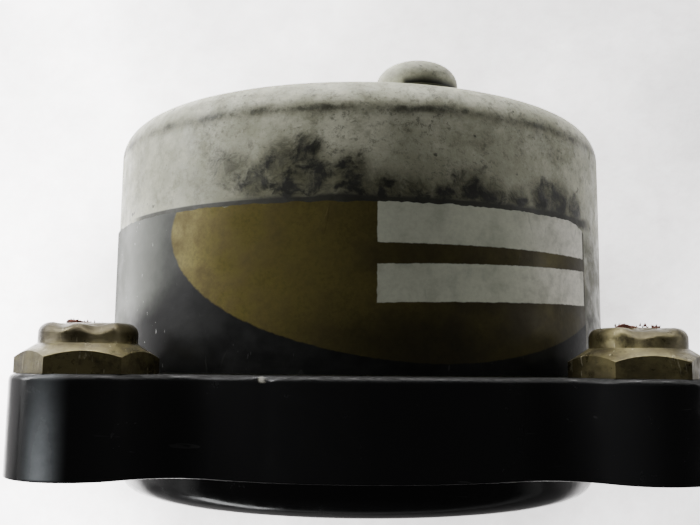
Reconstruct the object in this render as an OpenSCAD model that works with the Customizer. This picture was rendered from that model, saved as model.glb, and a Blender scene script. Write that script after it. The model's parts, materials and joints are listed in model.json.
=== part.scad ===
// Carburetor air temperature gauge: a flange-mounted moving-coil aircraft instrument of the 2 inch size.
// The parts are drawn with z towards the rear and -y towards the top of the dial, then stood up by upright(),
// so that in the finished part the dial faces -Y, the terminals face +Y and the top of the dial faces +Z.

/* [Rear cover] */
// Outer radius of the cylindrical rear cover
can_r = 26.6; // [26:0.1:34]
// Length of the rear cover behind the flange
can_len = 25.9; // [25:0.1:36]
// Wall of the rear cover
can_wall = 1; // [0.8:0.1:1.2]
// Radius of the cover's rounded rear shoulder
can_shoulder_r = 3.2; // [1.5:0.1:3.2]
// Distance of the cover posts' axes inside the cover's wall
post_inset = 5.1; // [4.6:0.1:6]
// Across flats of a cover post
post_flats = 5; // [4:0.1:5.6]
// Angle of the first cover post, counted from the right-hand side
post_angle = -76.4; // [-80:0.1:-72]
// Radius of a cover screw's round head
cover_head_r = 3.8; // [3:0.1:4]
// Height of a cover screw's round head
cover_head_h = 3; // [2:0.1:3.4]
// Radius of a cover screw's shank
cover_screw_r = 1.15; // [1:0.05:1.3]

/* [Flange] */
// Thickness of the mounting flange
flange_t = 8.3; // [6:0.1:12]
// How far the flange's round middle reaches past the rear cover
flange_rim = 3.15; // [2.5:0.05:4]
// Radius of a rounded mounting lug
lug_r = 6.2; // [5.8:0.1:8]
// Radius of the hollow between a lug and the round middle
neck_r = 6; // [4:0.5:9]
// Radius of the hole for a mounting screw
screw_hole_r = 1.9; // [1.8:0.05:2.2]

/* [Mounting nuts] */
// Across flats of a mounting nut
nut_flats = 10.3; // [9:0.1:12.5]
// Height of a mounting nut's hexagon
nut_hex_h = 2.5; // [2.3:0.1:4]
// Radius of a mounting nut's collar
nut_collar_r = 4.1; // [3.8:0.1:4.4]
// Height of a mounting nut with its collar
nut_h = 4.25; // [4:0.05:6]
// Least gap between a mounting nut and the rear cover
nut_gap = 0.75; // [0.3:0.05:2]
// Radius of a mounting nut's threaded hole
nut_bore_r = 1.4; // [1.3:0.05:1.6]
// How far the fibre ring stands out of the nut
fibre_proud = 0.5; // [0.2:0.1:1]
// Angle at which each nut came to rest: left above and below the dial, then right above and below it
nut_turns = [12, -7, -7, 11];

/* [Bezel and spigot] */
// How far the bezel stands out in front of the flange
bezel_h = 3.5; // [3.5:0.1:5]
// How much smaller the bezel's radius is than the rear cover's
bezel_inset = 1.2; // [0:0.1:1.2]
// Radius of the bezel's rounded front edge
bezel_round_r = 1.8; // [0.5:0.1:1.8]
// Gap between the spigot and the rear cover
spigot_gap = 0.15; // [0.1:0.05:0.3]
// Wall of the spigot that carries the movement
spigot_wall = 2.05; // [2:0.05:3]
// Length of the spigot behind the flange
spigot_len = 8.7; // [8.6:0.1:12]

/* [Glass] */
// Thickness of the glass
glass_t = 1.5; // [1.2:0.1:1.6]
// Thickness of the gasket under the glass
gasket_t = 0.4; // [0.3:0.1:0.5]
// Thickness of the snap ring in front of the glass
snap_t = 0.7; // [0.5:0.1:0.8]
// Width of the ledge that the glass rests on
ledge_w = 1.5; // [1.2:0.1:2]
// Height of the ledge's front face above the flange's front face
ledge_front = 0.5; // [0.4:0.1:0.6]
// Depth of the ledge's rear face behind the flange's front face
ledge_rear = 3.9; // [3.9:0.1:4.2]

/* [Dial and pointer] */
// Thickness of the dial
dial_t = 0.6; // [0.4:0.1:0.7]
// How far the pivot lies below the middle of the dial
pivot_drop = 6; // [4:0.5:7.5]
// Length of the pointer from the pivot
pointer_len = 21; // [16:0.5:23]
// Angle between the rest stop and the middle of the scale
pointer_half_sweep = 54; // [40:1:55]
// Distance of the zero screw from the edge of the window
zero_inset = 3.4; // [3:0.1:5]
// Throw of the zero screw's eccentric pin
zero_throw = 1; // [0.8:0.05:1.1]

/* [Movement] */
// Radius of the iron core
core_r = 5.5; // [4.5:0.1:6]
// Wall of the coil's former
former_t = 0.25; // [0.2:0.05:0.3]
// Thickness of the coil's winding
winding_t = 0.8; // [0.5:0.1:1]
// Width of the coil
coil_w = 1.4; // [1:0.1:1.8]
// Gap between the coil and the iron on each side
air_gap = 0.25; // [0.2:0.05:0.4]
// Height of the magnet
magnet_h = 7.2; // [6:0.1:7.4]
// Thickness of the magnet ring
magnet_t = 4.8; // [4:0.1:5.2]
// Gap between the magnet ring and the spigot
magnet_gap = 0.6; // [0.3:0.1:1]
// Thickness of the movement plate
plate_t = 1.6; // [1.2:0.1:2]
// Width of a bridge
bridge_w = 5; // [4:0.1:6]
// Thickness of a bridge
bridge_t = 1.2; // [1:0.1:1.4]
// Outer radius of a hairspring
spring_r = 4.9; // [4:0.1:5]
// Number of turns of a hairspring
spring_turns = 4; // [3:1:5]

/* [Resistors and terminals] */
// Radius of a resistor spool
spool_r = 4.5; // [3.5:0.1:4.8]
// Height of a resistor spool
spool_h = 9.6; // [7:0.1:10]
// Distance between neighbouring terminals
terminal_pitch = 11; // [10:0.5:13]
// How far the row of terminals lies below the middle of the cover
terminal_drop = 5; // [3:0.5:7]
// Radius of a terminal stud
terminal_r = 1.75; // [1.5:0.05:2]
// How far a terminal stud stands out of the cover
terminal_len = 8.8; // [8:0.1:10]

/* [Data label] */
// Height of the label's top edge above the flange
label_h = 14.64; // [10:0.01:20]
// Thickness of the label
label_t = 0.12; // [0.05:0.01:0.2]
// Angle of the label's left end, counted from the top of the dial
label_left = -118; // [-150:1:-90]
// Angle of the label's right end, counted from the top of the dial
label_right = 53; // [40:1:90]

/* [Hidden] */
$fn = 64;

// Clearance between pieces that are assembled and then stand still
fit = 0.02;
// Clearance between pieces that turn in each other
running = 0.05;

// Radii that follow from the rear cover
lug_centre_r = can_r + nut_gap + nut_flats / 2 / cos(30);
lug_xy = lug_centre_r * cos(45);
flange_r = can_r + flange_rim;
bezel_r = can_r - bezel_inset;
spigot_r = can_r - can_wall - spigot_gap;
bore_r = spigot_r - spigot_wall;
window_r = bore_r - ledge_w;
plate_r = spigot_r - fit;
post_r = can_r - can_wall - post_inset;

// Heights that follow from the front
spigot_end = flange_t + spigot_len;
plate_back = spigot_end + plate_t;
cover_back = flange_t + can_len;
cover_inside = cover_back - can_wall;
dial_front = ledge_rear + running;
dial_back = dial_front + dial_t;

// Glass and what holds it
glass_play = 0.2;
glass_r = bore_r - glass_play;
glass_front = -ledge_front - gasket_t - glass_t;
glass_back = glass_front + glass_t;
groove_depth = 0.7;
groove_clearance = 0.05;
snap_width = 1.4;
snap_opening = 24;

// Zero corrector
zero_y = window_r - zero_inset;
zero_shaft_r = 1;
zero_hole_r = zero_shaft_r + 0.6;
zero_flange_r = zero_shaft_r + 1.5;
zero_flange_t = 0.2;
zero_collar_r = zero_shaft_r + 1.2;
zero_collar_t = 0.5;
zero_head_r = 2;
zero_head_h = 0.75;
zero_disc_r = 1.9;
zero_clip_t = 0.4;
zero_pin_r = 0.4;
zero_pin_y = zero_y - zero_throw;
zero_arm_len = zero_pin_y - pivot_drop;
eccentric_front = dial_back + 0.3;
eccentric_t = 0.9;
fork_clearance = 0.1;
fork_prong = 1.2;
fork_depth = 0.5;
fork_len = 3.6;

// Movement, from the coil outwards
coil_in_r = core_r + air_gap;
coil_out_r = coil_in_r + former_t + winding_t;
pole_r = coil_out_r + air_gap + 0.15;
magnet_r = bore_r - magnet_gap - pivot_drop;
magnet_in_r = magnet_r - magnet_t;
pole_mid_r = (pole_r + magnet_in_r) / 2;
magnet_mid_r = (magnet_in_r + magnet_r) / 2;
pole_half_angle = 60;
magnet_front = spigot_end - magnet_h;
core_end_gap = 0.2;
winding_end_t = winding_t * 0.75;
coil_front = magnet_front + core_end_gap - air_gap - former_t - winding_end_t;
coil_back = spigot_end - core_end_gap + air_gap + former_t + winding_end_t;
coil_hole_r = coil_out_r + 0.6;
magnet_screw_angle = 35;
support_w = 3;
support_front = 2.2;
support_h = 3;

// Staffs, bridges and springs
staff_r = 0.5;
collet_r = 1.1;
seat_r = 1.2;
seat_t = 0.4;
pointer_front = dial_front - 1.75;
pointer_back = dial_front - 0.95;
front_bridge_back = coil_front - seat_t - 0.3;
front_bridge_front = front_bridge_back - bridge_t;
bush_r = 1.5;
bush_flange_r = 2.2;
bush_flange_t = 0.3;
arm_t = 0.6;
arm_w = 2.2;
arm_back = front_bridge_front - 0.3;
arm_front = arm_back - arm_t;
bush_front = arm_front - 0.4;
spring_w = 0.5;
spring_strip = 0.12;
spring_gap = 0.35;
front_spring_back = bush_front - spring_gap;
rear_spring_front = plate_back + spring_gap;
rear_post_h = 2;
rear_bridge_front = plate_back + rear_post_h;
rear_bridge_back = rear_bridge_front + bridge_t;
spring_tab = 0.8;
lock_nut_flats = 5;
lock_nut_h = 1.2;
jewel_screw_proud = 2.2;
jewel_slot_w = 0.4;

// Half outline of the pointer's blade, as half width and share of the pointer's length, and of its tail
BLADE = [[0.6, 0], [0.45, 0.55], [0.9, 0.62], [0.25, 0.97], [0, 1]];
TAIL = [[1.3, 6.4], [0.9, 7]];
hub_r = 2.4;
blade_t = 0.4;
dial_hole_r = 1.8;
dial_screw_len = 3;
dial_post_r = 1.4;

// Balance cross and its weights
balance_z = pointer_back + 0.35;
balance_hub_r = 1.3;
balance_hub_t = 0.5;
balance_wire_r = 0.15;
balance_reach = 4.5;
weight_r = 0.45;
weight_from = 2.8;
weight_len = 1.2;

// Small screws
screw_r = 0.8;
screw_head_r = 1.5;
screw_head_h = 1;
small_screw_r = 0.6;
small_head_r = 1.2;
small_head_h = 0.6;
hole_play = 0.05;
plate_screw_ring = plate_r - small_head_r - 0.05;
plate_screw_len = 5;
magnet_head_r = 1.4;
magnet_screw_len = 4;
front_screw_len = 5;
cover_screw_grip = 4;
cover_skirt_h = 0.8;
cover_slot_turn = 62;
cover_slot_w = 0.9;

// Mounting nuts and the label
fibre_r = nut_collar_r - 1.05;
fibre_neck_r = nut_bore_r + 0.5;
fibre_front = nut_hex_h - 0.18;
fibre_back = nut_h - 0.42;
nut_collar_round = 0.9;
nut_chamfer_run = 1.54;
nut_chamfer_land = -1;
label_seat = 0.01;
label_lift = 0.1;

// Resistor spools: two beside the rear bridge, and one whose screw ends against the magnet ring
SPOOLS = [[-8.5, -12], [10.5, -9], [0, pivot_drop + magnet_in_r - 0.5]];
spool_flange_t = 0.8;
spool_core_r = 2;
winding_recess = 0.5;
spool_head_r = 1.6;
spool_back = plate_back + spool_h;

// Lead wires from the terminals to the spools
wire_r = 0.45;
wire_sides = 8;
wire_drop = 2.2;
wire_lead = 1.5;

// Terminals, from the inside of the cover outwards; a stud is thinner where its nut's thread would be
terminal_head_r = 3;
terminal_head_h = 1.5;
insulator_r = 4;
insulator_in_t = 1.7;
insulator_out_t = 1.6;
insulator_wall = 0.75;
washer_r = 3.4;
washer_t = 0.6;
terminal_nut_flats = 6.4;
terminal_nut_h = 2.2;
terminal_root_r = terminal_r - 0.25;
terminal_tip = 0.35;
terminal_head_front = cover_inside - insulator_in_t - terminal_head_h;
insulator_back = cover_back + insulator_out_t;
washer_back = insulator_back + washer_t;
terminal_nut_back = washer_back + terminal_nut_h;
terminal_back = cover_back + terminal_len;

// A round stretch of an outline
function arc(centre, r, from, to, steps = 10) =
    [for (i = [0:steps]) centre + r * [cos(from + (to - from) * i / steps), sin(from + (to - from) * i / steps)]];

// The flange's outline over one quarter turn: half of the round middle, a hollow, a lug and a hollow
function flange_quarter(turn) =
    let (
        hollow_r = flange_r + neck_r,
        reach = lug_r + neck_r,
        spread = acos((pow(lug_centre_r, 2) + pow(hollow_r, 2) - pow(reach, 2)) / (2 * lug_centre_r * hollow_r)),
        lug = lug_centre_r * [cos(turn), sin(turn)],
        low = hollow_r * [cos(turn - spread), sin(turn - spread)],
        high = hollow_r * [cos(turn + spread), sin(turn + spread)],
        low_dir = atan2(low.y - lug.y, low.x - lug.x),
        half = turn - low_dir - floor((turn - low_dir) / 360) * 360,
        low_start = turn - spread + 180
    )
    concat(
        arc([0, 0], flange_r, turn - 45, turn - spread, 8),
        arc(low, neck_r, low_start, turn - half + 180, 8),
        arc(lug, lug_r, turn - half, turn + half, 16),
        arc(high, neck_r, turn + half - 180, turn + spread - 180, 8),
        arc([0, 0], flange_r, turn + spread, turn + 45, 8)
    );

// A flat spiral strip, as an outline that goes out along one side and back along the other
function spiral(r0, r1, turns, strip, steps) =
    let (at = function (i, side)
        (r0 + (r1 - r0) * i / steps + side * strip / 2) * [sin(360 * turns * i / steps), -cos(360 * turns * i / steps)])
    concat([for (i = [0:steps]) at(i, 1)], [for (i = [steps:-1:0]) at(i, -1)]);

function cross_of(a, b) = [a.y * b.z - a.z * b.y, a.z * b.x - a.x * b.z, a.x * b.y - a.y * b.x];

// Stands the part up: rear to +Y, top of the dial to +Z
module upright() rotate([-90, 0, 0]) children();

module at_pivot(z = 0) translate([0, pivot_drop, z]) children();

LUGS = [[-1, -1], [-1, 1], [1, -1], [1, 1]];

module on_lugs() for (side = LUGS) translate([side.x * lug_xy, side.y * lug_xy, 0]) children();

module on_nuts() for (i = [0:3]) translate([LUGS[i].x * lug_xy, LUGS[i].y * lug_xy, flange_t]) rotate(nut_turns[i])
    children();

module on_cover_posts() for (i = [0:2]) rotate(post_angle + 120 * i) translate([post_r, 0, 0]) children();

module on_terminals() for (i = [-1:1]) translate([i * terminal_pitch, terminal_drop, 0]) children();

module on_sides(distance) for (side = [-1, 1]) translate([side * distance, pivot_drop, 0]) children();

module on_spools() for (p = SPOOLS) translate([p.x, p.y, 0]) children();

module on_plate_screws() for (i = [0:3]) rotate(90 * i) translate([plate_screw_ring, 0, 0]) children();

module on_magnet_screws() at_pivot() for (side = [0, 180], tilt = [-1, 1])
    rotate(side + tilt * magnet_screw_angle) translate([pole_mid_r, 0, 0]) children();

module tube(outer, inner, front, back) rotate_extrude()
    translate([inner, front]) square([outer - inner, back - front]);

module rod(r, front, back) translate([0, 0, front]) cylinder(r = r, h = back - front);

module hexagon(flats, front, back) translate([0, 0, front]) cylinder(r = flats / 2 / cos(30), h = back - front, $fn = 6);

// A cheese-head screw whose head lies against z = seat and whose shank points along dir
module cheese_screw(seat, dir, shank, r, head_r, head_h) translate([0, 0, seat]) mirror([0, 0, dir > 0 ? 0 : 1])
    difference() {
        union() {
            translate([0, 0, -head_h]) cylinder(r = head_r, h = head_h);
            translate([0, 0, -head_h / 2]) cylinder(r = r, h = shank + head_h / 2);
        }
        translate([-head_r - 1, -head_r * 0.12, -head_h - 1]) cube([2 * head_r + 2, head_r * 0.24, head_h * 0.45 + 1]);
    }

// A round tube swept along points, with the same turned section at every point
module wire(points, r) {
    last = len(points) - 1;
    function along(i) =
        let (d = points[min(i + 1, last)] - points[max(i - 1, 0)]) d / norm(d);
    function ring(i) =
        let (
            t = along(i),
            u = cross_of(t, abs(t.x) < 0.9 ? [1, 0, 0] : [0, 1, 0]),
            v = u / norm(u),
            w = cross_of(t, v)
        )
        [for (k = [0:wire_sides - 1]) points[i] + r * (cos(360 * k / wire_sides) * v + sin(360 * k / wire_sides) * w)];
    vertices = [for (i = [0:last]) each ring(i)];
    faces = concat(
        [[for (k = [0:wire_sides - 1]) k]],
        [for (i = [0:last - 1], k = [0:wire_sides - 1])
            [i * wire_sides + k, (i + 1) * wire_sides + k,
            (i + 1) * wire_sides + (k + 1) % wire_sides, i * wire_sides + (k + 1) % wire_sides]],
        [[for (k = [wire_sides - 1:-1:0]) last * wire_sides + k]]
    );
    polyhedron(points = vertices, faces = faces, convexity = 6);
}

// Front of the instrument
module front_case() color([0.03, 0.03, 0.035]) upright() difference() {
    union() {
        rotate_extrude() polygon(concat(
            [[bore_r, -bezel_h]],
            arc([bezel_r - bezel_round_r, bezel_round_r - bezel_h], bezel_round_r, -90, 0),
            [[bezel_r, 0.5], [spigot_r, 0.5], [spigot_r, spigot_end], [bore_r, spigot_end], [bore_r, ledge_rear],
            [window_r, ledge_rear], [window_r, 0], [bore_r - ledge_w / 2, -ledge_front], [bore_r, -ledge_front]]
        ));
        difference() {
            linear_extrude(flange_t) polygon([for (i = [0:3]) each flange_quarter(45 + 90 * i)]);
            rod(spigot_r - spigot_wall / 2, -1, flange_t + 1);
        }
    }
    on_lugs() rod(screw_hole_r, -1, flange_t + 1);
    tube(bore_r + groove_depth, bore_r - 0.1, glass_front - snap_t - 2 * groove_clearance, glass_front);
    on_plate_screws() rod(small_screw_r + hole_play, plate_back - plate_screw_len - 1, spigot_end + 1);
}

module glass() color([0.85, 0.92, 0.92, 0.35]) upright() difference() {
    rod(glass_r, glass_front, glass_back);
    translate([0, zero_y, 0]) rod(zero_hole_r, glass_front - 1, glass_back + 1);
}

module glass_gasket() color([0.12, 0.11, 0.1]) upright()
    tube(glass_r, window_r + glass_play, -ledge_front - gasket_t, -ledge_front);

module snap_ring() color([0.1, 0.1, 0.1]) upright()
    rotate([0, 0, 90 + snap_opening / 2]) rotate_extrude(angle = 360 - snap_opening)
        translate([bore_r + groove_depth - groove_clearance - snap_width, glass_front - snap_t - groove_clearance])
            square([snap_width, snap_t]);

// Zero corrector
module zero_bush() color([0.75, 0.6, 0.3]) upright() translate([0, zero_y, 0]) difference() {
    union() {
        rod(zero_flange_r, glass_front - zero_flange_t, glass_front);
        rod(zero_hole_r - running, glass_front - zero_flange_t / 2, glass_back + zero_collar_t / 2);
        rod(zero_collar_r, glass_back, glass_back + zero_collar_t);
    }
    rod(zero_shaft_r + running, glass_front - 1, glass_back + 1);
}

module zero_screw() color([0.7, 0.7, 0.68]) upright() translate([0, zero_y, 0]) {
    seat = glass_front - zero_flange_t - running;
    cheese_screw(seat, 1, eccentric_front + zero_clip_t - seat, zero_shaft_r, zero_head_r, zero_head_h);
}

module zero_clip() color([0.35, 0.33, 0.3]) upright() translate([0, zero_y, 0]) {
    front = glass_back + zero_collar_t + 2 * running;
    tube(zero_disc_r, zero_shaft_r + fit, front, front + zero_clip_t);
}

module zero_eccentric() color([0.7, 0.58, 0.3]) upright() translate([0, zero_y, 0]) difference() {
    union() {
        rod(zero_disc_r, eccentric_front, eccentric_front + eccentric_t);
        translate([0, -zero_throw, 0]) rod(zero_pin_r, eccentric_front + eccentric_t / 2, arm_back + 0.2);
    }
    rod(zero_shaft_r + fit, eccentric_front - 1, eccentric_front + zero_clip_t + fit);
}

module zero_arm() color([0.72, 0.6, 0.32]) upright() at_pivot() difference() {
    slot = zero_pin_r + fork_clearance;
    union() {
        rod(2 * bush_r, arm_front, arm_back);
        translate([-arm_w / 2, 0, arm_front]) cube([arm_w, zero_arm_len - fork_depth, arm_t]);
        translate([-slot - fork_prong, zero_arm_len - arm_w, arm_front])
            cube([2 * (slot + fork_prong), fork_len, arm_t]);
        translate([-spring_tab, -spring_r - 1, arm_front]) cube([2 * spring_tab, spring_r, arm_t]);
        translate([-spring_tab, -spring_r - spring_tab, front_spring_back - spring_w])
            cube([2 * spring_tab, spring_tab, arm_back - front_spring_back + spring_w]);
    }
    rod(bush_r + running, arm_front - 1, arm_back + 1);
    translate([-slot, zero_arm_len - zero_pin_r - fork_depth, arm_front - 1]) cube([2 * slot, fork_len + 1, arm_t + 2]);
}

// Dial and pointer
module dial() color([0.05, 0.05, 0.05]) upright() difference() {
    rod(bore_r - glass_play, dial_front, dial_back);
    at_pivot() rod(dial_hole_r, dial_front - 1, dial_back + 1);
    translate([0, zero_y, 0]) rod(zero_shaft_r + 0.4, dial_front - 1, dial_back + 1);
    on_sides(magnet_mid_r) rod(small_screw_r + hole_play, dial_front - 1, dial_back + 1);
}

module dial_screws() color([0.2, 0.2, 0.2]) upright() on_sides(magnet_mid_r)
    cheese_screw(dial_front, 1, dial_screw_len, small_screw_r, small_head_r, small_head_h);

module dial_posts() color([0.72, 0.6, 0.32]) upright() on_sides(magnet_mid_r) difference() {
    rod(dial_post_r, dial_back, magnet_front);
    rod(small_screw_r + hole_play, dial_back - 1, dial_front + dial_screw_len + 1);
}

module pointer() color([0.9, 0.88, 0.8]) upright() at_pivot() rotate(-pointer_half_sweep) difference() {
    union() {
        rod(hub_r, pointer_front, pointer_back);
        translate([0, 0, pointer_back - blade_t]) linear_extrude(blade_t) polygon(concat(
            [for (p = BLADE) [-p.x, -p.y * pointer_len]],
            [for (i = [len(BLADE) - 2:-1:0]) [BLADE[i].x, -BLADE[i].y * pointer_len]],
            TAIL,
            [for (i = [len(TAIL) - 1:-1:0]) [-TAIL[i].x, TAIL[i].y]]
        ));
    }
    rod(staff_r + fit, pointer_front + 0.3, pointer_back + 1);
}

module balance_cross() color([0.72, 0.6, 0.32]) upright() at_pivot(balance_z) rotate(-pointer_half_sweep)
    difference() {
        union() {
            rod(balance_hub_r, -balance_hub_t / 2, balance_hub_t / 2);
            rotate([0, 90, 0]) rod(balance_wire_r, -balance_reach, balance_reach);
        }
        rod(staff_r + fit, -1, 1);
    }

module balance_weights() color([0.75, 0.6, 0.3]) upright() at_pivot(balance_z) rotate(-pointer_half_sweep)
    for (side = [0, 180]) rotate(side) rotate([0, 90, 0])
        tube(weight_r, balance_wire_r + fit, weight_from, weight_from + weight_len);

// Front bridge
module bridge(hole_r) difference() {
    linear_extrude(bridge_t) union() {
        translate([-pole_mid_r, -bridge_w / 2]) square([2 * pole_mid_r, bridge_w]);
        for (side = [-1, 1]) translate([side * pole_mid_r, 0]) circle(r = bridge_w / 2);
    }
    rod(hole_r, -1, bridge_t + 1);
    for (side = [-1, 1]) translate([side * pole_mid_r, 0, 0]) rod(screw_r + hole_play, -1, bridge_t + 1);
}

module front_bridge() color([0.72, 0.6, 0.32]) upright() at_pivot(front_bridge_front) bridge(bush_r + fit);

module front_bridge_posts() color([0.7, 0.58, 0.3]) upright() on_sides(pole_mid_r)
    tube(screw_head_r, screw_r + hole_play, front_bridge_back, magnet_front);

module front_bridge_screws() color([0.6, 0.6, 0.6]) upright() on_sides(pole_mid_r)
    cheese_screw(front_bridge_front, 1, front_screw_len, screw_r, screw_head_r, screw_head_h);

module front_bush() color([0.75, 0.6, 0.3]) upright() at_pivot() difference() {
    union() {
        rod(bush_flange_r, bush_front, bush_front + bush_flange_t);
        rod(bush_r, bush_front + bush_flange_t / 2, front_bridge_back);
    }
    rod(staff_r + running, bush_front - 1, front_bridge_back + 1);
}

module hairspring(front) {
    margin = fit + spring_strip / 2;
    translate([0, 0, front]) linear_extrude(spring_w)
        polygon(spiral(collet_r + margin, spring_r - margin, spring_turns, spring_strip, 24 * spring_turns));
}

module front_hairspring() color([0.7, 0.45, 0.25]) upright() at_pivot() hairspring(front_spring_back - spring_w);

// Moving coil
module half_staffs() color([0.75, 0.75, 0.78]) upright() at_pivot() {
    rod(staff_r, pointer_front + 0.35, coil_front);
    rod(collet_r, front_spring_back - spring_w - 0.05, front_spring_back + 0.15);
    rod(seat_r, coil_front - seat_t, coil_front);
    rod(seat_r, coil_back, coil_back + seat_t);
    rod(staff_r, coil_back, rear_bridge_front - 0.6);
    rod(collet_r, rear_spring_front - 0.1, rear_spring_front + spring_w + 0.1);
    rod(staff_r / 2, coil_back, rear_bridge_front + 0.1);
}

// A rectangular loop round the core, from the inner half width and ends outwards
module coil_loop(inner_r, thick, end_thick, front, back) difference() {
    translate([-inner_r - thick, -coil_w / 2, front]) cube([2 * (inner_r + thick), coil_w, back - front]);
    translate([-inner_r, -coil_w, front + end_thick]) cube([2 * inner_r, 2 * coil_w, back - front - 2 * end_thick]);
}

module coil_former() color([0.8, 0.8, 0.82]) upright() at_pivot() rotate(-pointer_half_sweep)
    coil_loop(coil_in_r, former_t, former_t, coil_front + winding_end_t, coil_back - winding_end_t);

module coil_winding() color([0.6, 0.25, 0.1]) upright() at_pivot() rotate(-pointer_half_sweep)
    coil_loop(coil_in_r + former_t, winding_t, winding_end_t, coil_front, coil_back);

module iron_core() color([0.45, 0.45, 0.47]) upright() at_pivot()
    rod(core_r, magnet_front + core_end_gap, spigot_end - core_end_gap);

module core_supports() color([0.72, 0.6, 0.32]) upright() at_pivot() intersection() {
    tube(magnet_in_r - fit, core_r + fit, magnet_front + support_front, magnet_front + support_front + support_h);
    translate([-support_w / 2, -magnet_in_r, 0]) cube([support_w, 2 * magnet_in_r, spigot_end]);
}

module pole_pieces() color([0.5, 0.5, 0.5]) upright() difference() {
    at_pivot() for (side = [0, 180]) rotate(side - pole_half_angle) rotate_extrude(angle = 2 * pole_half_angle)
        translate([pole_r, magnet_front]) square([magnet_in_r - fit - pole_r, magnet_h]);
    on_sides(pole_mid_r) rod(screw_r + hole_play, magnet_front - 1, spigot_end + 1);
    on_magnet_screws() rod(screw_r + hole_play, spigot_end - 4, spigot_end + 1);
}

module magnet_ring() color([0.35, 0.33, 0.33]) upright() at_pivot() tube(magnet_r, magnet_in_r, magnet_front, spigot_end);

// Movement plate and rear bridge
module movement_plate() color([0.72, 0.6, 0.32]) upright() difference() {
    rod(plate_r, spigot_end, plate_back);
    at_pivot() rod(coil_hole_r, spigot_end - 1, plate_back + 1);
    on_plate_screws() rod(small_screw_r + hole_play, spigot_end - 1, plate_back + 1);
    on_magnet_screws() rod(screw_r + hole_play, spigot_end - 1, plate_back + 1);
    on_sides(pole_mid_r) rod(screw_r + hole_play, spigot_end - 1, plate_back + 1);
    on_spools() rod(screw_r + hole_play, spigot_end - 1, plate_back + 1);
    on_cover_posts() rod(cover_screw_r + hole_play, spigot_end - 1, plate_back + 1);
}

module magnet_screws() color([0.6, 0.6, 0.6]) upright() on_magnet_screws()
    cheese_screw(plate_back, -1, magnet_screw_len, screw_r, magnet_head_r, screw_head_h);

module plate_screws() color([0.6, 0.6, 0.6]) upright() on_plate_screws()
    cheese_screw(plate_back, -1, plate_screw_len, small_screw_r, small_head_r, screw_head_h);

module rear_bridge() color([0.72, 0.6, 0.32]) upright() at_pivot(rear_bridge_front) bridge(bush_r + fit);

module rear_bridge_posts() color([0.7, 0.58, 0.3]) upright() on_sides(pole_mid_r)
    tube(screw_head_r, screw_r + hole_play, plate_back, rear_bridge_front);

module rear_bridge_screws() color([0.6, 0.6, 0.6]) upright() on_sides(pole_mid_r)
    cheese_screw(rear_bridge_back, -1, bridge_t + rear_post_h + plate_t, screw_r, screw_head_r, screw_head_h);

module rear_jewel_screw() color([0.75, 0.6, 0.3]) upright() at_pivot() difference() {
    rod(bush_r, rear_bridge_front - 0.4, rear_bridge_back + jewel_screw_proud);
    rod(staff_r / 2 + running, rear_bridge_front - 1, rear_bridge_front + 0.3);
    translate([-bush_r - 1, -jewel_slot_w / 2, rear_bridge_back + jewel_screw_proud - 0.7])
        cube([2 * bush_r + 2, jewel_slot_w, 2]);
}

module rear_lock_nut() color([0.75, 0.6, 0.3]) upright() at_pivot() difference() {
    hexagon(lock_nut_flats, rear_bridge_back, rear_bridge_back + lock_nut_h);
    rod(bush_r + fit, rear_bridge_back - 1, rear_bridge_back + lock_nut_h + 1);
}

module rear_hairspring() color([0.7, 0.45, 0.25]) upright() at_pivot() hairspring(rear_spring_front);

module rear_spring_stud() color([0.72, 0.6, 0.32]) upright() at_pivot()
    translate([-spring_tab, -spring_r - spring_tab, rear_spring_front]) difference() {
        cube([2 * spring_tab, spring_tab + spring_r - bridge_w / 2 + 1, rear_bridge_front - rear_spring_front]);
        translate([-1, spring_tab, -1]) cube([4, spring_r, spring_w + 1.3]);
    }

// Resistors
module resistor_spools() color([0.35, 0.2, 0.1]) upright() on_spools() difference() {
    union() {
        rod(spool_r, plate_back, plate_back + spool_flange_t);
        rod(spool_core_r, plate_back, spool_back);
        rod(spool_r, spool_back - spool_flange_t, spool_back);
    }
    rod(screw_r + hole_play, plate_back - 1, spool_back + 1);
}

module resistor_windings() color([0.15, 0.35, 0.2]) upright() on_spools()
    tube(spool_r - winding_recess, spool_core_r + fit, plate_back + spool_flange_t, spool_back - spool_flange_t);

module spool_screws() color([0.75, 0.6, 0.3]) upright() on_spools()
    cheese_screw(spool_back, -1, spool_h + plate_t, screw_r, spool_head_r, screw_head_h);

// Rear cover and what holds it
module cover_posts() color([0.75, 0.6, 0.3]) upright() on_cover_posts() difference() {
    union() {
        hexagon(post_flats, plate_back, cover_inside);
        rod(cover_screw_r, spigot_end, plate_back + 1);
    }
    rod(cover_screw_r + hole_play, cover_inside - cover_screw_grip - 1.5, cover_inside + 1);
}

module rear_cover() color([0.62, 0.61, 0.57]) upright() difference() {
    rotate_extrude() polygon(concat(
        [[can_r - can_wall, flange_t], [can_r, flange_t]],
        arc([can_r - can_shoulder_r, cover_back - can_shoulder_r], can_shoulder_r, 0, 90),
        [[0, cover_back], [0, cover_inside]],
        arc([can_r - can_shoulder_r, cover_back - can_shoulder_r], can_shoulder_r - can_wall, 90, 0)
    ));
    on_cover_posts() rod(cover_screw_r + hole_play, cover_inside - 1, cover_back + 1);
    on_terminals() rod(terminal_r + insulator_wall + running, cover_inside - 1, cover_back + 1);
}

// Round head: a short straight skirt under a dome
module cover_screws() color([0.6, 0.59, 0.55]) upright() on_cover_posts() translate([0, 0, cover_back]) difference() {
    union() {
        rotate_extrude() polygon(concat(
            [[0, 0], [cover_head_r, 0]],
            [for (a = [0:10:90])
                [cover_head_r * pow(cos(a), 0.8), cover_skirt_h + (cover_head_h - cover_skirt_h) * sin(a)]]
        ));
        rod(cover_screw_r, -can_wall - cover_screw_grip, cover_skirt_h / 2);
    }
    rotate(cover_slot_turn) translate([-cover_head_r - 1, -cover_slot_w / 2, cover_head_h - 1])
        cube([2 * cover_head_r + 2, cover_slot_w, 2]);
}

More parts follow.
